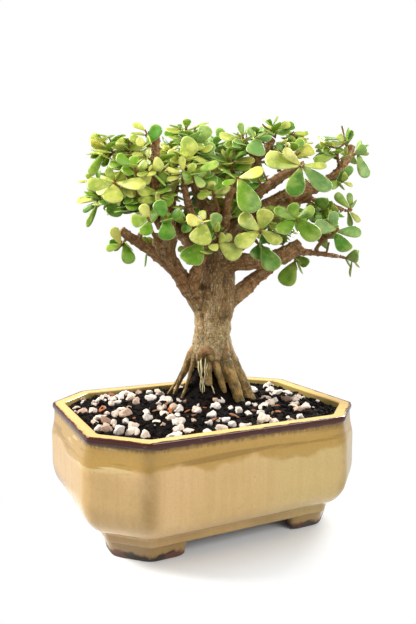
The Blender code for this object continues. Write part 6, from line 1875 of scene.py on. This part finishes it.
@dataclass
class Sprays:
    """The leafy sprays: each one twig with its leaves."""

    tree: TreeFrame
    sides: int = 8
    bands: tuple[tuple[float, int], ...] = ((0.50, 1), (0.88, 1), (1.0, 0), (0.72, -1))
    small: int = 14
    large: int = 22
    long_leaf: float = 15.0
    fullness: float = 0.66

    def twig_surface(self, route: np.ndarray) -> Surface:
        """The twig as a tube with a domed tip, a little knobbled where old leaves sat."""
        knotty = route.copy()
        run = np.concatenate(([0.0], np.cumsum(np.linalg.norm(np.diff(route[:, :3], axis=0), axis=1))))
        knotty[:, 3] *= 1 + 0.10 * np.cos(run * 2 * math.pi / 2.6)
        surface = tube_surface(knotty, self.sides, self.tree, True)
        count = len(surface.points)
        surface.values = {"tint": np.tile((0.2, 0.2, 0.05, 1.0), (count, 1)), "blade": np.ones((count, 3)),
                          "rim": np.zeros(count), "under": np.zeros(count), "stem": np.ones(count)}
        return surface

    def leaf_surface(self, leaf: Leaf, tint: np.ndarray, rng: np.random.Generator) -> Surface:
        """A fleshy leaf on a polar grid.

        Each ring is the outline drawn in to a share s of its size round the ridge point, at a height
        of half the thickness times (1 - s^2.6)^0.6, so that the face is full and the rim round. Then
        the whole is cupped by c times the width times the square of the share across, and twisted.

        Args:
            leaf: The leaf.
            tint: Its colour.
            rng: Draws its cup and twist.

        Returns:
            The closed leaf with its colour and its blade's own coordinates.
        """
        segments = self.large if leaf.length > self.long_leaf else self.small
        turn = np.linspace(0.0, 2 * math.pi, segments, endpoint=False)
        along, across = Leaf.outline(turn)
        cup, twist, wave = rng.uniform(-0.02, 0.09), rng.uniform(-0.12, 0.12), rng.uniform(-0.03, 0.03)
        rows = [(np.array([Leaf.RIDGE]), np.array([0.0]), 0.5, 0.0, 0.0)]
        for share, face in self.bands:
            height = face * 0.5 * (1 - share ** 2.6) ** 0.6
            rows.append((Leaf.RIDGE + (along - Leaf.RIDGE) * share, across * share, height, share, float(face < 0)))
        rows.append((np.array([Leaf.RIDGE]), np.array([0.0]), -0.5, 0.0, 1.0))
        run = np.concatenate([row[0] for row in rows])
        wide = np.concatenate([row[1] for row in rows])
        size = [len(row[0]) for row in rows]
        rise = np.repeat([row[2] for row in rows], size) * leaf.thickness * self.fullness * (0.62 + 0.38 * np.sin(np.pi * run))
        rise = rise + cup * leaf.width * wide ** 2 + twist * leaf.width * wide * run + wave * leaf.length * np.sin(
            2 * np.pi * run)
        points = self.tree.to_part(leaf.point(run, wide, rise))
        ring_faces = grid_faces(len(self.bands), segments) + 1
        last = 1 + segments * (len(self.bands) - 1)
        triangles = np.vstack((fan_faces(1, segments, 0, True), fan_faces(last, segments, len(points) - 1, False)))
        count = len(points)
        shade = tint * (1.0 - 0.10 * (1 - run))[:, None]
        return Surface(points, [triangles, ring_faces], {
            "tint": np.column_stack((shade, np.ones(count))),
            "blade": np.column_stack((run, np.arctan2(wide, run + 0.35) * 1.0, np.zeros(count))),
            "rim": np.repeat([row[3] for row in rows], size), "under": np.repeat([row[4] for row in rows], size),
            "stem": np.zeros(count)})

    def tone(self, leaf: Leaf, rng: np.random.Generator) -> np.ndarray:
        """A leaf's green: its own tone if it has one, else by its place, and a small draw, darkened by painted shade to
        the right and low in the crown.

        Args:
            leaf: The leaf.
            rng: The draws.

        Returns:
            A linear colour.
        """
        tip = leaf.base + leaf.along * leaf.length / 2
        if leaf.tone:
            base = np.array(leaf.tone.value)
        elif leaf.spray + 1 in SPRAY_TONES:
            base = np.array(SPRAY_TONES[leaf.spray + 1].value)
        else:
            # Tones drawn by place, paler high in the crown, deeper low down and bluer and less pale to the right:
            # partly the leaves' own greens, partly painted light and shade.
            right = float(ease(tip[0], -40.0, 70.0))
            high = float(ease(tip[2], 130.0, 185.0))
            weights = {Tone.YELLOW: 0.10 + 0.16 * high, Tone.PALE: 0.20 + 0.36 * high * (1 - 0.5 * right),
                       Tone.MID: 0.34, Tone.DEEP: 0.10 + 0.24 * (1 - high), Tone.BLUE: 0.02 + 0.14 * right}
            share = np.array(list(weights.values()))
            base = np.array(list(weights)[rng.choice(len(share), p=share / share.sum())].value)
        other = np.array(rng.choice(list(Tone)).value)
        mixed = base + (other - base) * rng.uniform(0.0, 0.22)
        # Painted shade: leaves to the right and low in the crown are darkened.
        painted_shade = 1.0 - 0.18 * float(ease(tip[0], 0.0, 70.0)) - 0.14 * float(ease(tip[2], 150.0, 110.0))
        return np.clip(mixed * painted_shade * rng.uniform(0.86, 1.12), 0.01, 0.78)

    def build(self, wood: dict[str, np.ndarray]) -> list[bpy.types.Object]:
        """Every spray, in the order of the solids that they stand for."""
        coarse, fine = TwigPlan().lay(wood)
        foliage = Foliage()
        leaves = foliage.grow(wood, coarse)
        LOG.info("%d leaves, %d of them in the solids", len(leaves), foliage.solid_count)
        material = FleshyLeaf().material()
        low, high = np.array(CAD_BOX[0]) + 1e-5, np.array(CAD_BOX[1]) - 1e-5
        rng = np.random.default_rng(Foliage.seed)
        drawn = [(leaf, self.leaf_surface(leaf, self.tone(leaf, rng), rng)) for leaf in leaves]
        pieces = []
        for number, route in enumerate(fine):
            parts = [self.twig_surface(route)]
            parts += [self.twig_surface(side) for owner, side in foliage.sides if owner == number]
            for order, (leaf, surface) in enumerate(drawn):
                if leaf.spray != number:
                    continue
                outside = (surface.points < low).any() or (surface.points > high).any()
                if outside and order >= foliage.solid_count:
                    continue
                parts.append(surface)
            spray = Surface.gather(parts)
            spray.points = np.clip(spray.points, low, high)
            name = f"leafy_spray_{number + 1:02d}"
            pieces.append(show(spray, name, f"spray_{number + 1:02d}", material))
        return pieces


@dataclass
class Studio:
    """A pale floor that fades into a white room, soft light, and the camera at the photograph's angle."""

    centre: Point
    eye: Point = (-0.1883, -0.3984, 0.1883)
    yaw_deg: float = 25.87
    pitch_deg: float = 5.25
    lens: float = 35.19
    floor_radius: float = 3.0
    floor_fade: tuple[float, float] = (0.090, 0.165)
    floor_squeeze: float = 1.28
    floor_glow: float = 0.62

    def camera(self) -> None:
        """The camera, its long side 36 mm of film."""
        yaw, pitch = math.radians(self.yaw_deg), math.radians(self.pitch_deg)
        data = bpy.data.cameras.new("camera")
        data.sensor_width, data.lens = 36.0, self.lens
        data.clip_start, data.clip_end = 0.01, 50.0
        thing = bpy.data.objects.new("camera", data)
        thing.location = Vector(self.eye) + Vector(self.centre)
        look = Vector((math.sin(yaw) * math.cos(pitch), math.cos(yaw) * math.cos(pitch), -math.sin(pitch)))
        thing.rotation_mode = "QUATERNION"
        thing.rotation_quaternion = look.to_track_quat("-Z", "Y")
        bpy.context.scene.collection.objects.link(thing)
        bpy.context.scene.camera = thing

    def floor(self) -> bpy.types.Object:
        """A round floor whose grey fades into the room's white, by the distance from the pot."""
        turn = np.linspace(0.0, 2 * math.pi, 96, endpoint=False)
        rings = [np.column_stack((np.cos(turn) * r, np.sin(turn) * r, np.zeros(96))) for r in (0.2, 0.6, 1.2, self.floor_radius)]
        points = np.vstack(rings + [np.zeros((1, 3))])
        surface = Surface(points, [fan_faces(0, 96, len(points) - 1, False), grid_faces(4, 96)[:, ::-1]])
        surface.faces[1] = grid_faces(4, 96)[:, ::-1]
        thing = bpy.data.objects.new("floor", surface.mesh("floor"))
        bpy.context.scene.collection.objects.link(thing)
        material = bpy.data.materials.new("pale_floor")
        material.use_nodes = True
        tree = material.node_tree
        tree.nodes.clear()
        place = tree.nodes.new("ShaderNodeTexCoord")
        length = tree.nodes.new("ShaderNodeVectorMath")
        length.operation = "LENGTH"
        fade = tree.nodes.new("ShaderNodeMapRange")
        fade.interpolation_type = "SMOOTHSTEP"
        fade.inputs["From Min"].default_value, fade.inputs["From Max"].default_value = self.floor_fade
        spread = tree.nodes.new("ShaderNodeMapping")
        spread.inputs["Location"].default_value = (-self.centre[0], -self.centre[1] * self.floor_squeeze, 0.0)
        spread.inputs["Scale"].default_value = (1.0, self.floor_squeeze, 1.0)
        matt, glow = tree.nodes.new("ShaderNodeBsdfDiffuse"), tree.nodes.new("ShaderNodeEmission")
        matt.inputs["Color"].default_value = (0.86, 0.87, 0.87, 1.0)
        path, dim = tree.nodes.new("ShaderNodeLightPath"), tree.nodes.new("ShaderNodeMapRange")
        dim.inputs["To Min"].default_value, dim.inputs["To Max"].default_value = self.floor_glow, 1.0
        both, out = tree.nodes.new("ShaderNodeMixShader"), tree.nodes.new("ShaderNodeOutputMaterial")
        for source, target in ((path.outputs["Is Camera Ray"], dim.inputs["Value"]), (dim.outputs[0], glow.inputs["Strength"]),
                               (place.outputs["Object"], spread.inputs[0]), (spread.outputs[0], length.inputs[0]),
                               (length.outputs["Value"], fade.inputs["Value"]),
                               (fade.outputs[0], both.inputs[0]), (matt.outputs[0], both.inputs[1]),
                               (glow.outputs[0], both.inputs[2]), (both.outputs[0], out.inputs["Surface"])):
            tree.links.new(source, target)
        thing.data.materials.append(material)
        return thing

    def lamp(self, name: str, place: Point, size: float, power: float, colour: Colour = (1.0, 1.0, 1.0)) -> bpy.types.Object:
        """A square soft lamp that faces the tree."""
        data = bpy.data.lights.new(name, "AREA")
        data.size, data.energy, data.color = size, power, colour
        thing = bpy.data.objects.new(name, data)
        thing.location = place
        aim = Vector((0.0, 0.0, 0.13)) - Vector(place)
        thing.rotation_mode = "QUATERNION"
        thing.rotation_quaternion = aim.to_track_quat("-Z", "Y")
        bpy.context.scene.collection.objects.link(thing)
        return thing

    def room(self) -> None:
        """A white room: pure white to the eye, softer as a light."""
        world = bpy.data.worlds.new("white_room")
        bpy.context.scene.world = world
        world.use_nodes = True
        tree = world.node_tree
        back = tree.nodes["Background"]
        path = tree.nodes.new("ShaderNodeLightPath")
        strength = tree.nodes.new("ShaderNodeMapRange")
        strength.inputs["To Min"].default_value, strength.inputs["To Max"].default_value = 0.60, 1.0
        glossy = tree.nodes.new("ShaderNodeMath")
        glossy.operation = "MULTIPLY_ADD"
        glossy.inputs[1].default_value = -0.30
        tree.links.new(path.outputs["Is Camera Ray"], strength.inputs["Value"])
        tree.links.new(path.outputs["Is Glossy Ray"], glossy.inputs[0])
        tree.links.new(strength.outputs[0], glossy.inputs[2])
        tree.links.new(glossy.outputs[0], back.inputs["Strength"])
        back.inputs["Color"].default_value = (1.0, 1.0, 1.0, 1.0)
        bpy.context.scene.view_settings.view_transform = "Standard"

    def build(self) -> None:
        """Sets the room, the floor, the lamps and the camera."""
        self.room()
        lamps = [self.lamp("key_lamp", (-1.20, 0.70, 1.15), 0.6, 54.0, (1.0, 0.98, 0.94)),
                 self.lamp("rim_lamp", (1.15, 0.60, 0.85), 0.6, 24.0),
                 self.lamp("fill_lamp", (0.5, -1.3, 0.8), 0.9, 15.0)]
        self.floor()
        self.camera()


SHOWN_TONES = {
    (10, 2): Tone.YELLOW, (22, 0): Tone.YELLOW, (27, 0): Tone.PALE, (18, 0): Tone.BLUE, (18, 1): Tone.PALE, (28, 0): Tone.MID, (28, 1): Tone.YELLOW,
    (32, 0): Tone.BLUE, (35, 0): Tone.PALE, (35, 1): Tone.YELLOW, (35, 2): Tone.DEEP, (35, 3): Tone.BLUE,
    (46, 2): Tone.DEEP,
}
SPRAY_TONES = {
    3: Tone.PALE, 7: Tone.DEEP, 10: Tone.MID, 11: Tone.DEEP, 18: Tone.BLUE, 19: Tone.PALE, 20: Tone.YELLOW,
    22: Tone.PALE, 23: Tone.MID, 25: Tone.PALE, 28: Tone.MID, 32: Tone.BLUE, 34: Tone.BLUE, 35: Tone.PALE,
    38: Tone.BLUE, 39: Tone.MID, 43: Tone.MID, 44: Tone.PALE, 45: Tone.DEEP, 46: Tone.BLUE, 48: Tone.MID,
}


def main() -> None:
    """Builds the bonsai from the pot up, then the studio round it."""
    logging.basicConfig(level=logging.INFO, format="%(name)s: %(message)s")
    low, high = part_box("pot")
    shape = PotShape((round((low.x + high.x) / 2, 6), round((low.y + high.y) / 2, 6), 0.0))
    foot = (0.014, 0.012, 0.080)
    tree = TreeFrame(tuple(a + b for a, b in zip(shape.centre, foot)))
    wood = {"trunk": smooth_route(TRUNK, 1)}
    for name, points in LIMBS.items():
        wood[name] = smooth_route(points, 2 if len(points) < 4 else 1)
    roots = StemField.of([smooth_route(points, 1) for points in ROOTS.values()])
    GlazedPot(shape).build()
    SoilBed(shape, tree, foot).build(roots)
    Wood(tree).build()
    Sprays(tree).build(wood)
    Studio(shape.centre).build()


if __name__ == "__main__":
    main()
